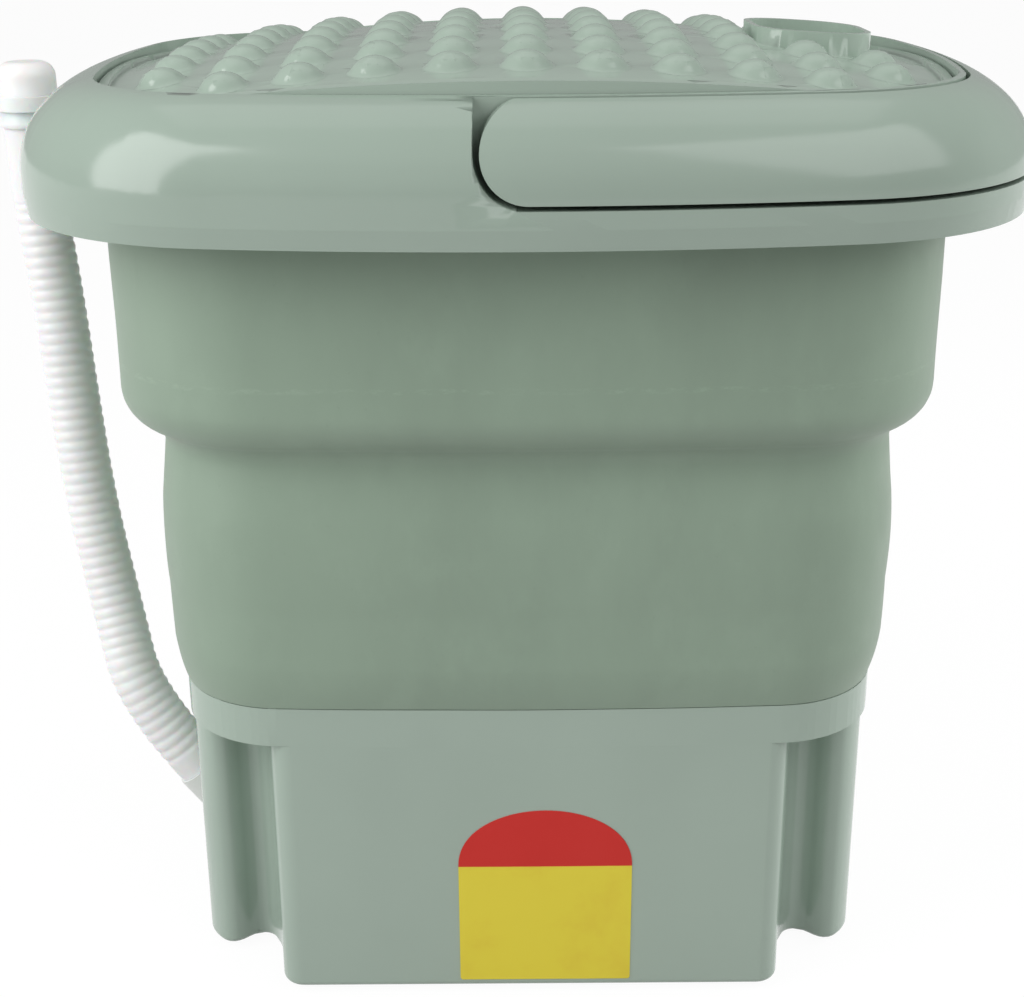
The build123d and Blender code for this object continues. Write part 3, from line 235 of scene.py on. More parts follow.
# Soft moulded elastomer: flow marks, handling bloom, a matt skin and the mould's parting line
def softMoulding(name, colour, partingLine=0.2610):
    f = Finish(name)
    z = f.axes()[2]
    flow = f.grain((14, 14, 5), 5.0, 0.62)
    bloom = f.grain((38, 38, 26), 4.0, 0.65, (1.3, 5.2, 0.7)).step(0.48, 0.72)
    speckle = f.grain((420, 420, 420), 2.0, 0.7).step(0.66, 0.74)
    line = 1.0 - abs(z - partingLine).step(0.0004, 0.0016)
    crumbs = f.grain((160, 160, 420), 4.0, 0.75, (0.2, 0.9, 0.1)).step(0.44, 0.74)
    body = f.mix(flow.step(0.3, 0.7), tint(colour, 0.93), tint(colour, 1.05))
    body = f.mix(bloom * 0.30, body, tint(colour, 1.16))
    body = f.mix(line * crumbs * 0.45, body, tint(colour, 1.35))
    body = f.mix(speckle * 0.10, body, tint(colour, 0.7))
    skin = f.grain((900, 900, 900), 2.0, 0.6)
    normal = f.bump(flow, 0.0006, 0.25)
    normal = f.bump(skin + line * crumbs * 2.0, 0.00004, 0.5, normal)
    gloss = 0.46 + flow * 0.12 - bloom * 0.06
    return f.shade(baseColor=body, roughness=gloss, normal=normal, sheen=0.15, sheenRoughness=0.5)


# Milky hose plastic: a clouded near-white tube with a soft depth
def milkyTube(name, colour):
    f = Finish(name)
    clouds = f.grain((60, 60, 40), 3.0, 0.5)
    fine = f.grain((900, 900, 900), 2.0, 0.6)
    body = f.mix(clouds.step(0.3, 0.7), tint(colour, 0.95), colour)
    return f.shade(baseColor=body, roughness=0.32 + clouds * 0.12, normal=f.bump(fine, 0.00002, 0.4),
                   scatter=0.35, scatterScale=0.004)


def brushedMetal(name, colour, roughness=0.28, direction=(1200, 1200, 40)):
    f = Finish(name)
    brush = f.grain(direction, 3.0, 0.6)
    stain = f.grain((40, 40, 40), 3.0, 0.6).step(0.45, 0.75)
    body = f.mix(stain * 0.35, colour, tint(colour, 0.72))
    return f.shade(baseColor=body, metallic=1.0, roughness=roughness + brush * 0.18,
                   normal=f.bump(brush, 0.00002, 0.5))


def mattRubber(name, colour):
    f = Finish(name)
    dust = f.grain((70, 70, 70), 4.0, 0.65).step(0.5, 0.78)
    skin = f.grain((1100, 1100, 1100), 2.0, 0.6)
    body = f.mix(dust * 0.4, colour, (0.13, 0.13, 0.12))
    return f.shade(baseColor=body, roughness=0.62 + dust * 0.2, normal=f.bump(skin, 0.00005, 0.5))


def circuitBoard(name):
    f = Finish(name)
    upright = f.node("ShaderNodeMapping", None, {
        "Vector": f.coords(), "Rotation": (math.radians(90), 0, 0), "Scale": (160, 160, 160)})
    lanes = f.node("ShaderNodeTexBrick", {"offset": 0.5}, {
        "Vector": upright, "Color1": (0.01, 0.12, 0.05), "Color2": (0.01, 0.10, 0.04),
        "Mortar": (0.04, 0.26, 0.11), "Mortar Size": 0.05})
    return f.shade(baseColor=lanes, roughness=0.35 + f.grain((200, 200, 200)) * 0.1)


def clearLens(name, colour):
    f = Finish(name)
    rings = f.grain((500, 500, 500), 2.0)
    return f.shade(baseColor=f.mix(rings, colour, tint(colour, 1.3)), roughness=0.12 + rings * 0.05, coat=0.6)


# Two-tone bare plate: one colour below a line, another above it
def twoTonePlate(name, lower, upper, height):
    f = Finish(name)
    above = f.axes()[2].step(height - 0.00015, height + 0.00015)
    clouds = f.grain((50, 50, 50), 3.0, 0.6)
    body = f.mix(above, lower, upper)
    body = f.mix(clouds.step(0.45, 0.8) * 0.10, body, tint(upper, 0.8))
    fibre = f.grain((700, 700, 700), 2.0, 0.6)
    return f.shade(baseColor=body, roughness=0.42 + clouds * 0.15, normal=f.bump(fibre, 0.00002, 0.4))


green = (0.360, 0.448, 0.380)
softGreen = (0.258, 0.343, 0.262)
paints = {
    "shell_green": mouldedPlastic("sageShell", green, gloss=0.13),
    "soft_green": softMoulding("sageSoft", softGreen),
    # rim and handle: the shell green darkened by 0.92, painted shade on the same plastic where the lamps light
    # it more
    "rim_green": mouldedPlastic("sageShellPaintedShade", tint(green, 0.92), gloss=0.13),
    "pulsator_green": mouldedPlastic("palePulsator", (0.60, 0.69, 0.62), gloss=0.22),
    "black_rubber": mattRubber("blackRubber", (0.028, 0.028, 0.03)),
    "steel": brushedMetal("steel", (0.62, 0.62, 0.63)),
    "bronze": brushedMetal("sinteredBronze", (0.52, 0.36, 0.18), 0.45, (500, 500, 500)),
    "dark_plastic": mouldedPlastic("darkPlastic", (0.035, 0.035, 0.04), gloss=0.38),
    "panel_white": mouldedPlastic("panelWhite", (0.78, 0.80, 0.77), gloss=0.3),
    "button_white": mouldedPlastic("buttonWhite", (0.70, 0.73, 0.70), gloss=0.2),
    "lens": clearLens("greenLens", (0.12, 0.55, 0.20)),
    "board": circuitBoard("circuitBoard"),
    "hose_white": milkyTube("milkyTube", (0.90, 0.89, 0.89)),
}
print("materials made:", len(paints))


# Faces between rows of points, each row closed round, and the last row joined to the first where asked
def rowFaces(rows, around, joined=False):
    faces = []
    for row in range(rows if joined else rows - 1):
        low, high = row * around, (row + 1) % rows * around
        for i in range(around):
            k = (i + 1) % around
            faces.append((low + i, low + k, high + k, high + i))
    return faces


def newPiece(name, vertices, faces, slot, smoothAngle=35.0):
    mesh = bpy.data.meshes.new(name)
    mesh.from_pydata([Vector(v) for v in vertices], [], faces)
    bm = bmesh.new()
    bm.from_mesh(mesh)
    bmesh.ops.remove_doubles(bm, verts=bm.verts, dist=1e-7)
    bmesh.ops.recalc_face_normals(bm, faces=bm.faces)
    bm.to_mesh(mesh)
    bm.free()
    return finishMesh(name, mesh, slot, smoothAngle)


def finishMesh(name, mesh, slot, smoothAngle=35.0):
    mesh.shade_smooth()
    mesh.set_sharp_from_angle(angle=math.radians(smoothAngle))
    mesh.materials.clear()
    mesh.materials.append(paints[slot])
    piece = bpy.data.objects.new(name, mesh)
    bpy.context.scene.collection.objects.link(piece)
    return piece


# A CAD node's own surface, its triangles joined and shaded smooth between its edges
def smoothCopy(node, smoothAngle=24.0, reshape=None, paint=None, reshade=None):
    mesh = nodes[node].data.copy()
    bm = bmesh.new()
    bm.from_mesh(mesh)
    bmesh.ops.remove_doubles(bm, verts=bm.verts, dist=2e-6)
    bmesh.ops.dissolve_degenerate(bm, edges=bm.edges, dist=1e-6)
    bmesh.ops.dissolve_limit(bm, angle_limit=math.radians(0.05), verts=bm.verts, edges=bm.edges)
    if reshape:
        reshape(bm)
    bm.to_mesh(mesh)
    bm.free()
    if mesh.has_custom_normals:
        mesh.normals_split_custom_set_from_vertices([(0, 0, 0)] * len(mesh.vertices))
    words = node.split("_")
    name = words[0] + "".join(w.capitalize() for w in words[1:]) + "Surface"
    piece = finishMesh(name, mesh, slotOf[node], smoothAngle)
    if paint:
        piece.data.materials[0] = paints[paint]
    weigh = piece.modifiers.new("flatFacesLead", "WEIGHTED_NORMAL")
    weigh.mode = "FACE_AREA"
    weigh.weight = 50
    weigh.keep_sharp = True
    graph = bpy.context.evaluated_depsgraph_get()
    piece.data = bpy.data.meshes.new_from_object(piece.evaluated_get(graph))
    piece.modifiers.clear()
    if reshade:
        reshade(piece.data)
    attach(piece, bodyOf[node])
    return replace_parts(piece, node)


# One quarter of a bowed outline as arcs (centre, radius, from angle, to angle), mirrored into a closed row
def outlineRow(shape, grow, counts=(10, 16, 14)):
    halfX, halfY, corner, bow = shape
    longRadius = ((halfX - bow) ** 2 + bow**2) / (2 * bow)
    shortRadius = ((halfY - bow) ** 2 + bow**2) / (2 * bow)
    longCentre = Vector((0, halfY - longRadius))
    shortCentre = Vector((halfX - shortRadius, 0))
    across = shortCentre - longCentre
    longReach, shortReach = longRadius - corner, shortRadius - corner
    reach = (longReach**2 - shortReach**2 + across.length_squared) / (2 * across.length)
    rise = math.sqrt(longReach**2 - reach**2)
    along = across.normalized()
    cornerCentre = longCentre + along * reach + Vector((along.y, -along.x)) * rise
    toLong = (cornerCentre - longCentre).normalized()
    toShort = (cornerCentre - shortCentre).normalized()
    shortAngle, longAngle = math.atan2(toShort.y, toShort.x), math.atan2(toLong.y, toLong.x)
    arcs = [
        (shortCentre, shortRadius + grow, 0.0, shortAngle, counts[0]),
        (cornerCentre, corner + grow, shortAngle, longAngle, counts[1]),
        (longCentre, longRadius + grow, longAngle, math.pi / 2, counts[2]),
    ]
    quarter = []
    for centre, radius, first, last, count in arcs:
        for i in range(count):
            angle = first + (last - first) * i / count
            quarter.append((centre.x + radius * math.cos(angle), centre.y + radius * math.sin(angle)))
    top = (0.0, halfY + grow)
    row = quarter + [top] + [(-x, y) for x, y in reversed(quarter)]
    return row + [(x, -y) for x, y in reversed(row[1:-1])]


collarShape = (138.5, 108.0, 42.0, 4.5)


def arcPoints(first, middle, last, count):
    a, b, c = Vector(first), Vector(middle), Vector(last)
    d = 2 * (a.x * (b.y - c.y) + b.x * (c.y - a.y) + c.x * (a.y - b.y))
    sa, sb, sc = a.length_squared, b.length_squared, c.length_squared
    centre = Vector(((sa * (b.y - c.y) + sb * (c.y - a.y) + sc * (a.y - b.y)) / d,
                     (sa * (c.x - b.x) + sb * (a.x - c.x) + sc * (b.x - a.x)) / d))
    angle = (a - centre).angle_signed(c - centre)
    return [centre + Matrix.Rotation(-angle * i / count, 2) @ (a - centre) for i in range(count)]


def linePoints(first, last, count):
    a, b = Vector(first), Vector(last)
    return [a.lerp(b, i / count) for i in range(count)]


# Closed ring of skin: the section's points, as (growth, height) in mm, carried round an outline
def ringPiece(name, shape, section, slot, s):
    vertices = []
    for grow, height in section:
        for x, y in outlineRow(shape, grow):
            cell = Vector((x, y, height * s["rippleFlatness"])) / s["rippleSize"]
            out = Vector((x, y)).normalized() * (s["ripple"] * noise.noise(cell))
            vertices.append(((x + out.x) * mm, (y + out.y) * mm, height * mm))
    rows = len(section)
    return newPiece(name, vertices, rowFaces(rows, len(vertices) // rows, joined=True), slot)


# Soft wall: two skins, each turning over at its own fold
wallSettings = {
    "thickness": 2.5,
    "collarTop": 130.0,
    "tongueBottom": 116.75,
    "tongue": -2.75,
    "seam": -0.4,
    "seamRise": 18.0,
    "low": 3.7,
    "bulge": 3.9,
    "crown": 0.7,
    "neck": 1.3,
    "clearOfCollar": 0.65,
    "upper": 16.0,
    "shoulder": 16.0,
    "valley": 8.5,
    "stepSlope": 30.0,
    "lowerBand": (170.0, 206.0),
    "stepTop": 246.0,
    "shoulderTop": 251.0,
    "flangeBottom": 323.0,
    "plateBottom": 325.5,
    "flangeReach": 8.0,
    "ripple": 0.5,
    "rippleSize": 46.0,
    "rippleFlatness": 1.6,
}


def makeSoftWall(s):
    t = s["thickness"]
    low, high = s["lowerBand"]
    middle = (low + high) / 2
    seamTop = s["collarTop"] + s["seamRise"]
    tongue = s["tongue"]
    crown = s["bulge"] + s["crown"]
    bend = ((s["seam"] + s["low"]) / 2 + 0.7, (s["collarTop"] + seamTop) / 2 - 0.55)
    outer = linePoints((s["seam"], s["collarTop"] + 0.15), (s["seam"] + 0.6, s["collarTop"] + 0.4), 2)
    outer += arcPoints((s["seam"] + 0.6, s["collarTop"] + 0.4), bend, (s["low"], seamTop), 16)
    outer += linePoints((s["low"], seamTop), (s["bulge"], low), 16)
    outer += arcPoints((s["bulge"], low), (crown, middle), (s["bulge"], high), 20)[:11]
    inner = arcPoints((s["bulge"] - t, low), (crown - t, middle), (s["bulge"] - t, high), 20)[:11][::-1]
    inner += linePoints((s["low"] - t, seamTop), (s["bulge"] - t, low), 16)[::-1]
    inner += linePoints((tongue - t, s["collarTop"] + t), (s["low"] - t, seamTop), 14)[::-1]
    tail = [(tongue - t, s["tongueBottom"]), (tongue, s["tongueBottom"]), (tongue, s["collarTop"] + 0.15)]
    foot = ringPiece("footSkin", collarShape, outer + inner + tail, "soft_green", s)
    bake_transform(foot)
    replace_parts(foot, "foot_fold", "lower_wall")

    neck, upper, shoulder, valley = s["neck"], s["upper"], s["shoulder"], s["valley"]
    turn = math.radians(90 - s["stepSlope"])
    flat = upper - neck - (shoulder + valley) * (1 - math.cos(turn))
    drop = flat * math.tan(math.radians(s["stepSlope"]))
    shoulderEnd = s["shoulderTop"] - shoulder * math.sin(turn)
    valleyEnd = shoulderEnd - drop - valley * math.sin(turn)

    # the step's two arcs, for a skin this far inside the outer one
    def stepArcs(inset):
        r, v = shoulder - inset, valley + inset
        upperArc, lowerArc = [], []
        for i in range(13):
            angle = turn * i / 12
            upperArc.append((upper - shoulder + r * math.cos(angle), s["shoulderTop"] - r * math.sin(angle)))
        for i in range(11):
            angle = turn * i / 10
            lowerArc.append((neck + valley - v * math.cos(angle), valleyEnd + v * math.sin(angle)))
        return upperArc, lowerArc

    upperArc, lowerArc = stepArcs(0.0)
    outer = arcPoints((s["bulge"], low), (crown, middle), (s["bulge"], high), 20)[10:]
    outer += linePoints((s["bulge"], high), (neck, valleyEnd), 14)
    outer += lowerArc + upperArc[::-1]
    outer += linePoints((upper, s["shoulderTop"]), (upper, s["flangeBottom"]), 24)[1:]
    outer += [(upper, s["flangeBottom"]), (upper + s["flangeReach"], s["flangeBottom"]),
              (upper + s["flangeReach"], s["plateBottom"]), (upper - t, s["plateBottom"])]
    upperArc, lowerArc = stepArcs(t)
    inner = linePoints((upper - t, s["shoulderTop"]), (upper - t, s["plateBottom"]), 24)[:0:-1]
    inner += upperArc + lowerArc[::-1]
    inner += linePoints((neck - t, valleyEnd), (s["bulge"] - t, high), 14)[1:]
    inner += arcPoints((s["bulge"] - t, low), (crown - t, middle), (s["bulge"] - t, high), 20)[10:][::-1]
    # the folded neck slides over the collar
    inner = [(max(s["clearOfCollar"], grow), height) for grow, height in inner]
    step = ringPiece("stepSkin", collarShape, outer + inner, "soft_green", s)
    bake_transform(step)
    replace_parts(step, "step_fold", "upper_wall")


makeSoftWall(wallSettings)
print("soft wall made")


# Drain hose: one smooth line, its ribs from Geometry Nodes
hoseSettings = {
    "points": [(-145.5, -14.0, 56.0), (-170.1, -14.0, 87.5), (-180.5, 3.0, 124.0), (-190.0, 13.0, 168.0),
               (-195.5, 21.0, 214.0), (-200.0, 28.0, 262.0), (-205.0, 32.0, 304.0), (-205.0, 32.0, 344.0)],
    "radius": 11.0,
    "bore": 7.5,
    "ribPitch": 4.7,
    "ribDepth": 0.5,
    "ribRoundness": 0.6,
    "footCuff": 9.0,
    "topCuff": 44.0,
    "sides": 40,
}


class Tree:
    def __init__(self, name, inputs):
        self.tree = bpy.data.node_groups.new(name, "GeometryNodeTree")
        self.ids = {}
        self.tree.interface.new_socket("Geometry", in_out="INPUT", socket_type="NodeSocketGeometry")
        for label, (kind, value) in inputs.items():
            socket = self.tree.interface.new_socket(label, in_out="INPUT", socket_type=kind)
            if value is not None and kind not in ("NodeSocketObject", "NodeSocketMaterial"):
                socket.default_value = value
            self.ids[label] = (socket.identifier, value)
        self.tree.interface.new_socket("Geometry", in_out="OUTPUT", socket_type="NodeSocketGeometry")
        self.source = self.tree.nodes.new("NodeGroupInput")
        self.target = self.tree.nodes.new("NodeGroupOutput")

    def input(self, label):
        return self.source.outputs[label]

    def node(self, kind, settings=None, values=None, output=0):
        made = self.tree.nodes.new(kind)
        for key, value in (settings or {}).items():
            setattr(made, key, value)
        pairs = values.items() if isinstance(values, dict) else enumerate(values or [])
        for key, value in pairs:
            if isinstance(value, bpy.types.NodeSocket):
                self.tree.links.new(value, made.inputs[key])
            else:
                made.inputs[key].default_value = value
        return made.outputs[output]

    def maths(self, operation, *values):
        return self.node("ShaderNodeMath", {"operation": operation}, values)

    # runs the tree on a carrier object and returns the result as a plain mesh
    def run(self, carrier, geometry, material):
        real = self.node("GeometryNodeRealizeInstances", None, [geometry])
        coloured = self.node("GeometryNodeSetMaterial", None, {"Geometry": real, "Material": material})
        self.tree.links.new(coloured, self.target.inputs[0])
        modifier = carrier.modifiers.new("tree", "NODES")
        modifier.node_group = self.tree
        for identifier, value in self.ids.values():
            if value is not None:
                modifier[identifier] = value
        graph = bpy.context.evaluated_depsgraph_get()
        mesh = bpy.data.meshes.new_from_object(carrier.evaluated_get(graph))
        carrier.modifiers.remove(modifier)
        return mesh


def splineOf(points):
    curve = bpy.data.curves.new("routeCurve", "CURVE")
    curve.dimensions = "3D"
    curve.resolution_u = 24
    spline = curve.splines.new("NURBS")
    spline.points.add(len(points) - 1)
    for point, place in zip(spline.points, points):
        point.co = (*(Vector(place) * mm), 1.0)
    spline.order_u = 3
    spline.use_endpoint_u = True
    route = bpy.data.objects.new("routeCurve", curve)
    bpy.context.scene.collection.objects.link(route)
    return route


def makeHose(s):
    route = splineOf(s["points"])
    graph = bpy.context.evaluated_depsgraph_get()
    line = bpy.data.meshes.new_from_object(route.evaluated_get(graph))
    path = [v.co.copy() for v in line.vertices]
    length = sum((b - a).length for a, b in zip(path, path[1:]))
    t = Tree("ribbedHose", {
        "Radius": ("NodeSocketFloat", s["radius"] * mm),
        "Bore": ("NodeSocketFloat", s["bore"] * mm),
        "Rib Pitch": ("NodeSocketFloat", s["ribPitch"] * mm),
        "Rib Depth": ("NodeSocketFloat", s["ribDepth"] * mm),
        "Foot Cuff": ("NodeSocketFloat", s["footCuff"] * mm),
        "Top Cuff": ("NodeSocketFloat", s["topCuff"] * mm),
        "Length": ("NodeSocketFloat", length),
        "Sides": ("NodeSocketInt", s["sides"]),
        "Wall": ("NodeSocketMaterial", paints["hose_white"]),
    })
    steps = int(length / (s["ribPitch"] * mm / 8))
    curve = t.node("GeometryNodeMeshToCurve", None, [t.source.outputs["Geometry"]])
    curve = t.node("GeometryNodeResampleCurve", None, {"Curve": curve, "Count": steps})
    curve = t.node("GeometryNodeSetCurveNormal", {"mode": "MINIMUM_TWIST"}, {"Curve": curve})
    along = t.node("GeometryNodeSplineParameter", output=1)
    turn = t.maths("DIVIDE", t.maths("SUBTRACT", along, t.input("Foot Cuff")), t.input("Rib Pitch"))
    wave = t.maths("COSINE", t.maths("MULTIPLY", turn, 2 * math.pi))
    crest = t.maths("POWER", t.maths("ADD", t.maths("MULTIPLY", wave, 0.5), 0.5), s["ribRoundness"])
    inside = t.maths("MULTIPLY", t.maths("GREATER_THAN", along, t.input("Foot Cuff")),
                     t.maths("LESS_THAN", along, t.maths("SUBTRACT", t.input("Length"), t.input("Top Cuff"))))
    depth = t.maths("MULTIPLY", t.maths("SUBTRACT", 1.0, crest), t.input("Rib Depth"))
    radius = t.maths("SUBTRACT", t.input("Radius"), t.maths("MULTIPLY", depth, inside))
    section = t.node("GeometryNodeCurvePrimitiveCircle", None, {"Resolution": t.input("Sides"), "Radius": 1.0})
    ribbed = t.node("GeometryNodeSetCurveRadius", None, {"Curve": curve, "Radius": radius})
    sweep = "GeometryNodeCurveToMesh"
    outer = t.node(sweep, None, {"Curve": ribbed, "Profile Curve": section, "Scale": radius})
    inner = t.node(sweep, None, {"Curve": curve, "Profile Curve": section, "Scale": t.input("Bore")})
    inner = t.node("GeometryNodeFlipFaces", None, [inner])
    both = t.tree.nodes.new("GeometryNodeJoinGeometry")
    t.tree.links.new(outer, both.inputs[0])
    t.tree.links.new(inner, both.inputs[0])
    carrier = bpy.data.objects.new("hoseCarrier", line)
    bpy.context.scene.collection.objects.link(carrier)
    mesh = t.run(carrier, both.outputs[0], t.input("Wall"))
    bpy.data.objects.remove(carrier)
    bpy.data.objects.remove(route)
    closeTubeEnds(mesh)
    hose = finishMesh("drainHoseTube", mesh, "hose_white", 50.0)
    return hose, path, length


# joins the two open rings at each end of a tube and its bore
def closeTubeEnds(mesh):
    bm = bmesh.new()
    bm.from_mesh(mesh)
    rims = [e for e in bm.edges if e.is_boundary]
    for end in (0, 1):
        ends = sorted(rims, key=lambda e: (e.verts[0].co + e.verts[1].co).z)
        half = ends[: len(ends) // 2] if end == 0 else ends[len(ends) // 2:]
        bmesh.ops.bridge_loops(bm, edges=half)
    bmesh.ops.recalc_face_normals(bm, faces=bm.faces)
    bm.to_mesh(mesh)
    bm.free()


# Plain round-headed cap pushed over the hose end
capSettings = {
    "radius": 12.5,
    "mouth": 11.15,
    "depth": 12.0,
    "bottom": 331.0,
    "top": 357.0,
    "headRadius": 6.0,
    "lip": 0.5,
    "sides": 56,
}


def makeCap(s):
    centreX, centreY = hoseSettings["points"][-1][:2]
    radius, bottom, head, sides = s["radius"], s["bottom"], s["headRadius"], s["sides"]
    outer = radius - s["lip"]
    profile = [(s["mouth"], bottom + s["depth"]), (s["mouth"], bottom), (radius - 0.3, bottom),
               (radius, bottom + 0.5), (radius, bottom + 2.2), (outer, bottom + 3.2)]
    for i in range(10):
        angle = math.radians(10 * i)
        profile.append((outer - head + head * math.cos(angle), s["top"] - head + head * math.sin(angle)))
    profile.append((outer * 0.3, s["top"] + 0.02))
    turns = [2 * math.pi * i / sides for i in range(sides)]
    vertices = [((centreX + r * math.cos(turn)) * mm, (centreY + r * math.sin(turn)) * mm, z * mm)
                for r, z in profile for turn in turns]
    faces = rowFaces(len(profile), sides)
    faces += [tuple(range(sides)), tuple(range(len(vertices) - sides, len(vertices)))]
    cap = newPiece("roundCap", vertices, faces, "hose_white", 40.0)
    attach(cap, bodyOf["hose_cap"])
    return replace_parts(cap, "hose_cap")


hose, hosePath, hoseLength = makeHose(hoseSettings)
capPiece = makeCap(capSettings)
clipPiece = smoothCopy("hose_clip", 40.0)
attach(hose, "base")
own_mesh(hose)
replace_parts(hose, "drain_hose")
print("hose made, mm:", round(hoseLength / mm, 1))


# Base: the front swells flush with the collar, and each corner is one smooth line of groove and round lobe
baseSettings = {
    "collarBottom": 114.0,
    "draftBottom": 6.0,
    "swell": 2.2,
    "bowRadius": 1997.0,
    "frontFace": 105.8,
    "cadCorner": [((101.0, 96.8), 0.0), ((101.0, 90.0), 4.0), ((111.5, 90.0), 4.0), ((111.5, 77.5), 4.0),
                  ((136.8, 77.5), 18.0), ((136.8, 59.5), 0.0)],
    "smoothCorner": [(101.0, 96.8), (101.3, 92.0), (102.4, 86.0), (104.2, 79.8), (106.8, 74.0), (109.8, 70.2),
                     (113.4, 69.0), (117.0, 70.4), (120.3, 73.4), (124.2, 75.3), (128.6, 74.6), (132.6, 70.8),
                     (135.6, 65.5), (136.8, 59.5)],
    "cornerLow": (100.5, 58.5),
    "cornerHigh": (137.3, 98.0),
    "reach": 3.4,
    "cutStep": 1.6,
    "rowSteps": 14,
}


def held(value):
    return min(1.0, max(0.0, value))


# how far the front stands out of its CAD face, in mm
def frontSwell(s, x, z):
    bow = max(0.0, s["swell"] - x * x / (2 * s["bowRadius"]))
    return bow * held((z - s["draftBottom"]) / (s["collarBottom"] - s["draftBottom"]))


def cutAcross(bm, axis, places, faces=None):
    for place in places:
        if faces:
            picked = [f for f in bm.faces if faces(f)]
            edges, points = {e for f in picked for e in f.edges}, {v for f in picked for v in f.verts}
            geometry = picked + list(edges) + list(points)
        else:
            geometry = list(bm.verts) + list(bm.edges) + list(bm.faces)
        point, normal = Vector(), Vector()
        point[axis], normal[axis] = place * mm, 1.0
        bmesh.ops.bisect_plane(bm, geom=geometry, dist=2e-6, plane_co=point, plane_no=normal)


# a row of points along straight runs whose corners are rounded
def roundedRow(corners, steps):
    row = []
    for i, (place, radius) in enumerate(corners):
        here = Vector(place)
        if not radius:
            row.append(here)
            continue
        back = (Vector(corners[i - 1][0]) - here).normalized()
        ahead = (Vector(corners[i + 1][0]) - here).normalized()
        centre = here + (back + ahead) * radius
        first, last = here + back * radius - centre, here + ahead * radius - centre
        turn = first.angle_signed(last)
        row += [centre + Matrix.Rotation(-turn * k / steps, 2) @ first for k in range(steps + 1)]
    return row


# smooth row through the points, Catmull-Rom
def smoothRow(points):
    p = [Vector(q) for q in points]
    p = [2 * p[0] - p[1]] + p + [2 * p[-1] - p[-2]]
    row = []
    for a, b, c, d in zip(p, p[1:], p[2:], p[3:]):
        for k in range(8):
            t = k / 8
            bend, twist = 2 * a - 5 * b + 4 * c - d, 3 * b - a - 3 * c + d
            row.append(0.5 * (2 * b + (c - a) * t + bend * t**2 + twist * t**3))
    return row + [p[-2]]


class OutlineRun:
    def __init__(self, row):
        self.row = row
        self.lengths = [0.0]
        for a, b in zip(row, row[1:]):
            self.lengths.append(self.lengths[-1] + (b - a).length)

    # nearest place as a share of the run, and the signed distance to its left
    def nearest(self, point):
        best = None    # gap, share, signed distance
        for i, (a, b) in enumerate(zip(self.row, self.row[1:])):
            along = b - a
            if along.length < 1e-9:
                continue
            t = held((point - a).dot(along) / along.length_squared)
            away = point - (a + along * t)
            if best is None or away.length < best[0]:
                share = (self.lengths[i] + along.length * t) / self.lengths[-1]
                side = along.x * away.y - along.y * away.x
                best = (away.length, share, math.copysign(away.length, side))
        return best

    def at(self, share, away):
        target = share * self.lengths[-1]
        for i in range(len(self.row) - 1):
            if self.lengths[i + 1] >= target or i == len(self.row) - 2:
                a, b = self.row[i], self.row[i + 1]
                along = (b - a).normalized()
                t = held((target - self.lengths[i]) / max(1e-9, (b - a).length))
                return a + (b - a) * t + Vector((-along.y, along.x)) * away


cadRun = OutlineRun(roundedRow(baseSettings["cadCorner"], baseSettings["rowSteps"]))
smoothRun = OutlineRun(smoothRow(baseSettings["smoothCorner"]))


# normals square to the smooth corner line, on the outer face of the corners
def reshadeBase(mesh, s=baseSettings):
    normals = [Vector(n.vector) for n in mesh.corner_normals]
    for face in mesh.polygons:
        if abs(face.normal.z) > 0.3:
            continue
        for i in face.loop_indices:
            x, y, z = mesh.vertices[mesh.loops[i].vertex_index].co / mm
            if z > s["collarBottom"] - 0.01 or not (100.5 < abs(x) < 137 and 59 < abs(y) < 97):
                continue
            gap, share, away = smoothRun.nearest(Vector((abs(x), abs(y))))
            if gap < 0.5 and 0.01 < share < 0.99:
                out = smoothRun.at(share, 1.0) - smoothRun.at(share, 0.0)
                flat = Vector((out.x * math.copysign(1, x), out.y * math.copysign(1, y), 0.0)).normalized()
                if flat.dot(face.normal) < 0:
                    flat.negate()
                rise = normals[i].z
                normals[i] = (flat * math.sqrt(1 - rise**2) + Vector((0, 0, rise))).normalized()
    mesh.normals_split_custom_set(normals)


def reshapeBase(bm, s=baseSettings):
    low, high = Vector(s["cornerLow"]), Vector(s["cornerHigh"])

    def inCorner(f):
        x, y, z = f.calc_center_median() / mm
        f.normal_update()
        upright = abs(f.normal.z) < 0.3 and z < s["collarBottom"]
        return upright and low.x - 1 < abs(x) < high.x and low.y - 1 < abs(y) < high.y

    xs = [101.5 + s["cutStep"] * i for i in range(int(35 / s["cutStep"]) + 1)]
    ys = [60.0 + s["cutStep"] * i for i in range(int(36 / s["cutStep"]) + 1)]
    cutAcross(bm, 0, [side * x for x in xs for side in (-1, 1)], inCorner)
    cutAcross(bm, 1, [side * y for y in ys for side in (-1, 1)], inCorner)
    cutAcross(bm, 0, [14.0 * i for i in range(-6, 7)])
    cutAcross(bm, 2, [12.0 + 14.5 * i for i in range(8)], inCorner)
    bmesh.ops.triangulate(bm, faces=[f for f in bm.faces if len(f.verts) > 4])
    for v in bm.verts:
        x, y, z = v.co / mm
        if z > s["collarBottom"] + 0.01:
            continue
        if -(s["frontFace"] + 0.3) < y < -(s["frontFace"] - 10):
            v.co.y -= frontSwell(s, x, z) * mm
        ax, ay = abs(x), abs(y)
        if low.x - 2 < ax < high.x and low.y < ay < high.y:
            gap, share, away = cadRun.nearest(Vector((ax, ay)))
            if gap < s["reach"] and 0 < share < 1:
                place = smoothRun.at(share, away)
                v.co.x, v.co.y = math.copysign(place.x, x) * mm, math.copysign(place.y, y) * mm
    bmesh.ops.remove_doubles(bm, verts=bm.verts, dist=2e-5)
    bmesh.ops.dissolve_degenerate(bm, edges=bm.edges, dist=1e-5)


smoothCopy("base_housing", reshape=reshapeBase, reshade=reshadeBase)
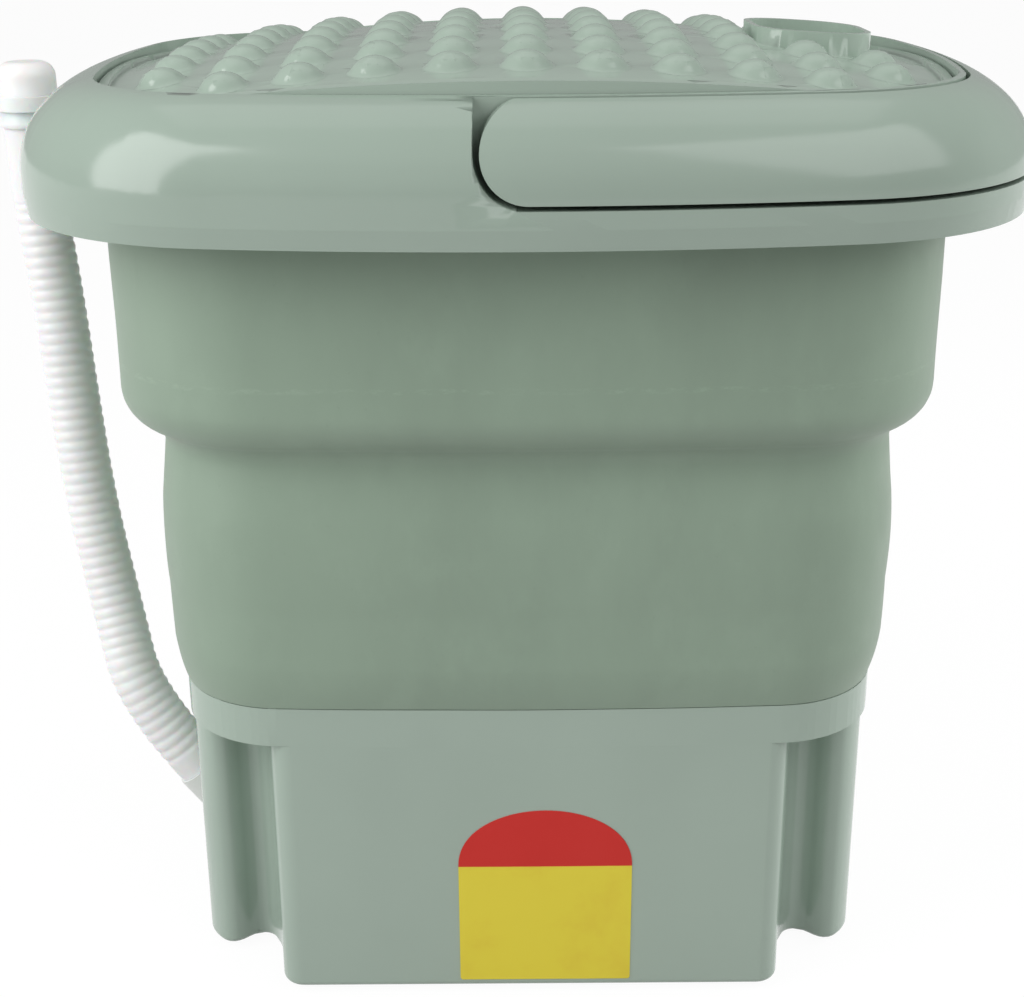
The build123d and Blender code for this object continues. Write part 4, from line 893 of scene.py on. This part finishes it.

# Hard shells and visible small parts, from their own CAD surfaces
# the rim and handle take the darker copy of the shell green, which is painted shade
for node in ("rim_shell", "handle"):
    smoothCopy(node, paint="rim_green")
for node in ("lid", "tub_floor", "pulsator", "pulsator_cap", "control_panel",
             "power_button", "mode_button", "indicator_lens", "power_inlet", "drain_elbow", "rubber_feet",
             "handle_pins", "wall_clamp_ring", "rim_screws", "base_screws", "drain_strainer"):
    smoothCopy(node)
for name, node in nodes.items():
    node.data.materials.clear()
    node.data.materials.append(paints[slotOf[name]])
print("shells made")


# Lid bumps: rows of domes with a soft foot
bumpSettings = {
    "pitch": 26.0,
    "columns": 11,
    "rows": 8,
    "footRadius": 9.9,
    "radius": 8.7,
    "height": 5.3,
    "sides": 28,
    "gripX": 110.0,
    "gripHalf": (31.6, 37.6),
    "lidRadius": 800.0,
    "lidSurface": 372.3,
}


def makeBumps(s):
    big = (s["radius"] ** 2 + s["height"] ** 2) / (2 * s["height"])
    profile = [(s["footRadius"], -0.05), (s["footRadius"] - 0.5, 0.05), (s["radius"] + 0.25, 0.35)]
    edge = math.asin(s["radius"] / big)
    for i in range(1, 9):
        angle = edge * (1 - i / 9) * 0.985
        profile.append((big * math.sin(angle), big * math.cos(angle) - big + s["height"]))
    vertices, sides = [], s["sides"]
    for radius, height in profile:
        for i in range(sides):
            angle = 2 * math.pi * i / sides
            vertices.append((radius * mm * math.cos(angle), radius * mm * math.sin(angle), height * mm))
    faces = rowFaces(len(profile), sides)
    vertices.append((0, 0, s["height"] * mm))
    last = (len(profile) - 1) * sides
    faces += [(last + i, last + (i + 1) % sides, len(vertices) - 1) for i in range(sides)]
    dome = newPiece("domeShape", vertices, faces, "shell_green", 60.0)
    t = Tree("lidBumps", {
        "Pitch": ("NodeSocketFloat", s["pitch"] * mm),
        "Columns": ("NodeSocketInt", s["columns"]),
        "Rows": ("NodeSocketInt", s["rows"]),
        "Grip X": ("NodeSocketFloat", s["gripX"] * mm),
        "Grip Half X": ("NodeSocketFloat", s["gripHalf"][0] * mm),
        "Grip Half Y": ("NodeSocketFloat", s["gripHalf"][1] * mm),
        "Lid Radius": ("NodeSocketFloat", s["lidRadius"] * mm),
        "Lid Surface": ("NodeSocketFloat", s["lidSurface"] * mm),
        "Dome": ("NodeSocketObject", dome),
        "Finish": ("NodeSocketMaterial", paints["shell_green"]),
    })
    spanX = t.maths("MULTIPLY", t.input("Pitch"), t.maths("SUBTRACT", t.input("Columns"), 1.0))
    spanY = t.maths("MULTIPLY", t.input("Pitch"), t.maths("SUBTRACT", t.input("Rows"), 1.0))
    grid = t.node("GeometryNodeMeshGrid", None, {
        "Size X": spanX, "Size Y": spanY, "Vertices X": t.input("Columns"), "Vertices Y": t.input("Rows")})
    place = t.node("GeometryNodeInputPosition")
    split = t.node("ShaderNodeSeparateXYZ", None, [place]).node
    x, y = split.outputs[0], split.outputs[1]
    fromGrip = t.maths("ABSOLUTE", t.maths("SUBTRACT", x, t.input("Grip X")))
    nearX = t.maths("LESS_THAN", fromGrip, t.input("Grip Half X"))
    nearY = t.maths("LESS_THAN", t.maths("ABSOLUTE", y), t.input("Grip Half Y"))
    inGrip = t.maths("MULTIPLY", nearX, nearY)
    lastX = t.maths("SUBTRACT", t.maths("DIVIDE", spanX, 2.0), 0.001)
    lastY = t.maths("SUBTRACT", t.maths("DIVIDE", spanY, 2.0), 0.001)
    farX = t.maths("GREATER_THAN", t.maths("ABSOLUTE", x), lastX)
    farY = t.maths("GREATER_THAN", t.maths("ABSOLUTE", y), lastY)
    drop = t.maths("GREATER_THAN", t.maths("ADD", inGrip, t.maths("MULTIPLY", farX, farY)), 0.5)
    kept = t.node("GeometryNodeDeleteGeometry", {"domain": "POINT"}, {"Geometry": grid, "Selection": drop})
    flat = t.node("ShaderNodeVectorMath", {"operation": "LENGTH"}, [place], output=1)
    square = t.maths("MULTIPLY", flat, flat)
    radiusSquare = t.maths("MULTIPLY", t.input("Lid Radius"), t.input("Lid Radius"))
    high = t.maths("SQRT", t.maths("SUBTRACT", radiusSquare, square))
    level = t.maths("ADD", t.maths("SUBTRACT", high, t.input("Lid Radius")), t.input("Lid Surface"))
    lifted = t.node("GeometryNodeSetPosition", None, {"Geometry": kept, "Offset": t.node(
        "ShaderNodeCombineXYZ", None, {"Z": level})})
    tilt = t.node("ShaderNodeCombineXYZ", None, {"X": x, "Y": y, "Z": t.input("Lid Radius")})
    turned = t.node("FunctionNodeAlignRotationToVector", {"axis": "Z"}, {"Vector": tilt})
    shape = t.node("GeometryNodeObjectInfo", None, {"Object": t.input("Dome")}, output=4)
    values = {"Points": lifted, "Instance": shape, "Rotation": turned}
    placed = t.node("GeometryNodeInstanceOnPoints", None, values)
    carrier = bpy.data.objects.new("bumpCarrier", bpy.data.meshes.new("bumpCarrier"))
    bpy.context.scene.collection.objects.link(carrier)
    mesh = t.run(carrier, placed, t.input("Finish"))
    bpy.data.objects.remove(carrier)
    bpy.data.objects.remove(dome)
    bumps = finishMesh("lidBumps", mesh, "shell_green", 60.0)
    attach(bumps, "lid_cover")
    print("bumps made:", len(mesh.vertices) // (len(profile) * sides + 1))


makeBumps(bumpSettings)


# Bare two-tone plate on the front of the base
plateSettings = {
    "halfWidth": 34.3,
    "centreX": 6.1,
    "bottom": 6.8,
    "shoulder": 60.5,
    "top": 86.0,
    "corner": 1.2,
    "thickness": 0.25,
    "yellow": (0.80, 0.67, 0.045),
    "red": (0.60, 0.012, 0.006),
}


def makePlate(s):
    rise = s["top"] - s["shoulder"]
    corner = s["corner"]
    edge = []
    for side, start in ((-1, 180), (1, 270)):
        centre = side * (s["halfWidth"] - corner)
        for i in range(7):
            angle = math.radians(start + 15 * i)
            edge.append((centre + corner * math.cos(angle), s["bottom"] + corner + corner * math.sin(angle)))
    for i in range(49):
        angle = math.pi * i / 48
        edge.append((s["halfWidth"] * math.cos(angle), s["shoulder"] + rise * math.sin(angle) ** 0.92))
    count = len(edge)
    vertices = [((s["centreX"] + x) * mm, y * mm, z * mm) for y in (-s["thickness"], 0.05) for x, z in edge]
    faces = [tuple(range(count)), tuple(range(2 * count - 1, count - 1, -1))]
    faces += [(i, (i + 1) % count, count + (i + 1) % count, count + i) for i in range(count)]
    plate = newPiece("barePlate", vertices, faces, "panel_white", 40.0)
    bm = bmesh.new()
    bm.from_mesh(plate.data)
    cutAcross(bm, 0, [7.0 * i for i in range(-3, 6)])
    for v in bm.verts:
        v.co.y -= (baseSettings["frontFace"] + frontSwell(baseSettings, v.co.x / mm, v.co.z / mm)) * mm
    bm.to_mesh(plate.data)
    bm.free()
    plate.data.materials[0] = twoTonePlate("twoTone", s["yellow"], s["red"], s["shoulder"] * mm)
    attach(plate, "base")


makePlate(plateSettings)


# Floor, backdrop and soft studio light
studioSettings = {
    "floorHalf": 6.0,
    "floorGrey": 0.5,
    "floorShine": 1.08,
    "floorGlow": 0.88,
    "worldStrength": 0.34,
    # name, place, target, size, power, seen in glossy surfaces
    "lights": [
        ("leftSoftbox", (-0.94, -0.57, 0.83), (-0.12, -0.14, 0.34), (0.76, 1.2), 11.5, True),
        ("rightSoftbox", (0.88, -0.78, 1.18), (0.11, -0.14, 0.34), (1.2, 1.2), 8.0, True),
        ("leftEdgeSoftbox", (-1.25, 0.22, 0.4), (-0.1, 0.0, 0.2), (0.5, 0.9), 1.6, False),
        ("rightEdgeSoftbox", (1.25, 0.22, 0.4), (0.1, 0.0, 0.2), (0.5, 0.9), 7.5, False),
        ("topSoftbox", (0.0, 0.3, 1.6), (0, 0, 0.2), (1.4, 1.0), 2.0, True),
    ],
}


def areaLight(name, place, target, size, power, mirrored):
    data = bpy.data.lights.new(name, "AREA")
    data.shape = "RECTANGLE"
    data.size, data.size_y = size
    data.energy = power
    light = bpy.data.objects.new(name, data)
    bpy.context.scene.collection.objects.link(light)
    light.visible_glossy = mirrored
    light.location = place
    light.rotation_euler = (Vector(target) - Vector(place)).to_track_quat("-Z", "Y").to_euler()


def makeStudio(s):
    mesh = bpy.data.meshes.new("studioFloor")
    h = s["floorHalf"]
    mesh.from_pydata([(-h, -h, 0), (h, -h, 0), (h, h, 0), (-h, h, 0)], [], [(0, 1, 2, 3)])
    floor = bpy.data.objects.new("studioFloor", mesh)
    bpy.context.scene.collection.objects.link(floor)
    f = Finish("paleFloor")
    rays = f.node("ShaderNodeLightPath").socket.node
    white = (Wire(f, rays.outputs["Is Camera Ray"]) + Wire(f, rays.outputs["Is Glossy Ray"])).clamped()
    glow = f.node("ShaderNodeEmission", None, {"Color": (1.0, 1.0, 1.0), "Strength": s["floorShine"]})
    matt = f.node("ShaderNodeBsdfDiffuse", None, {"Color": (s["floorGrey"],) * 3})
    both = f.node("ShaderNodeMixShader", None, {0: white * s["floorGlow"], 1: matt, 2: glow})
    out = f.tree.nodes["Material Output"]
    f.tree.links.new(both.socket, out.inputs["Surface"])
    mesh.materials.append(f.material)
    world = bpy.data.worlds.new("studioWorld")
    bpy.context.scene.world = world
    world.use_nodes = True
    tree = world.node_tree
    background = tree.nodes["Background"]
    path = tree.nodes.new("ShaderNodeLightPath")
    sky = tree.nodes.new("ShaderNodeMix")
    sky.data_type = "FLOAT"
    sky.inputs[2].default_value = s["worldStrength"]
    sky.inputs[3].default_value = 1.0
    tree.links.new(path.outputs["Is Camera Ray"], sky.inputs[0])
    background.inputs["Color"].default_value = (1.0, 1.0, 1.0, 1.0)
    tree.links.new(sky.outputs[0], background.inputs["Strength"])
    for light in s["lights"]:
        areaLight(*light)


makeStudio(studioSettings)
print("studio made")
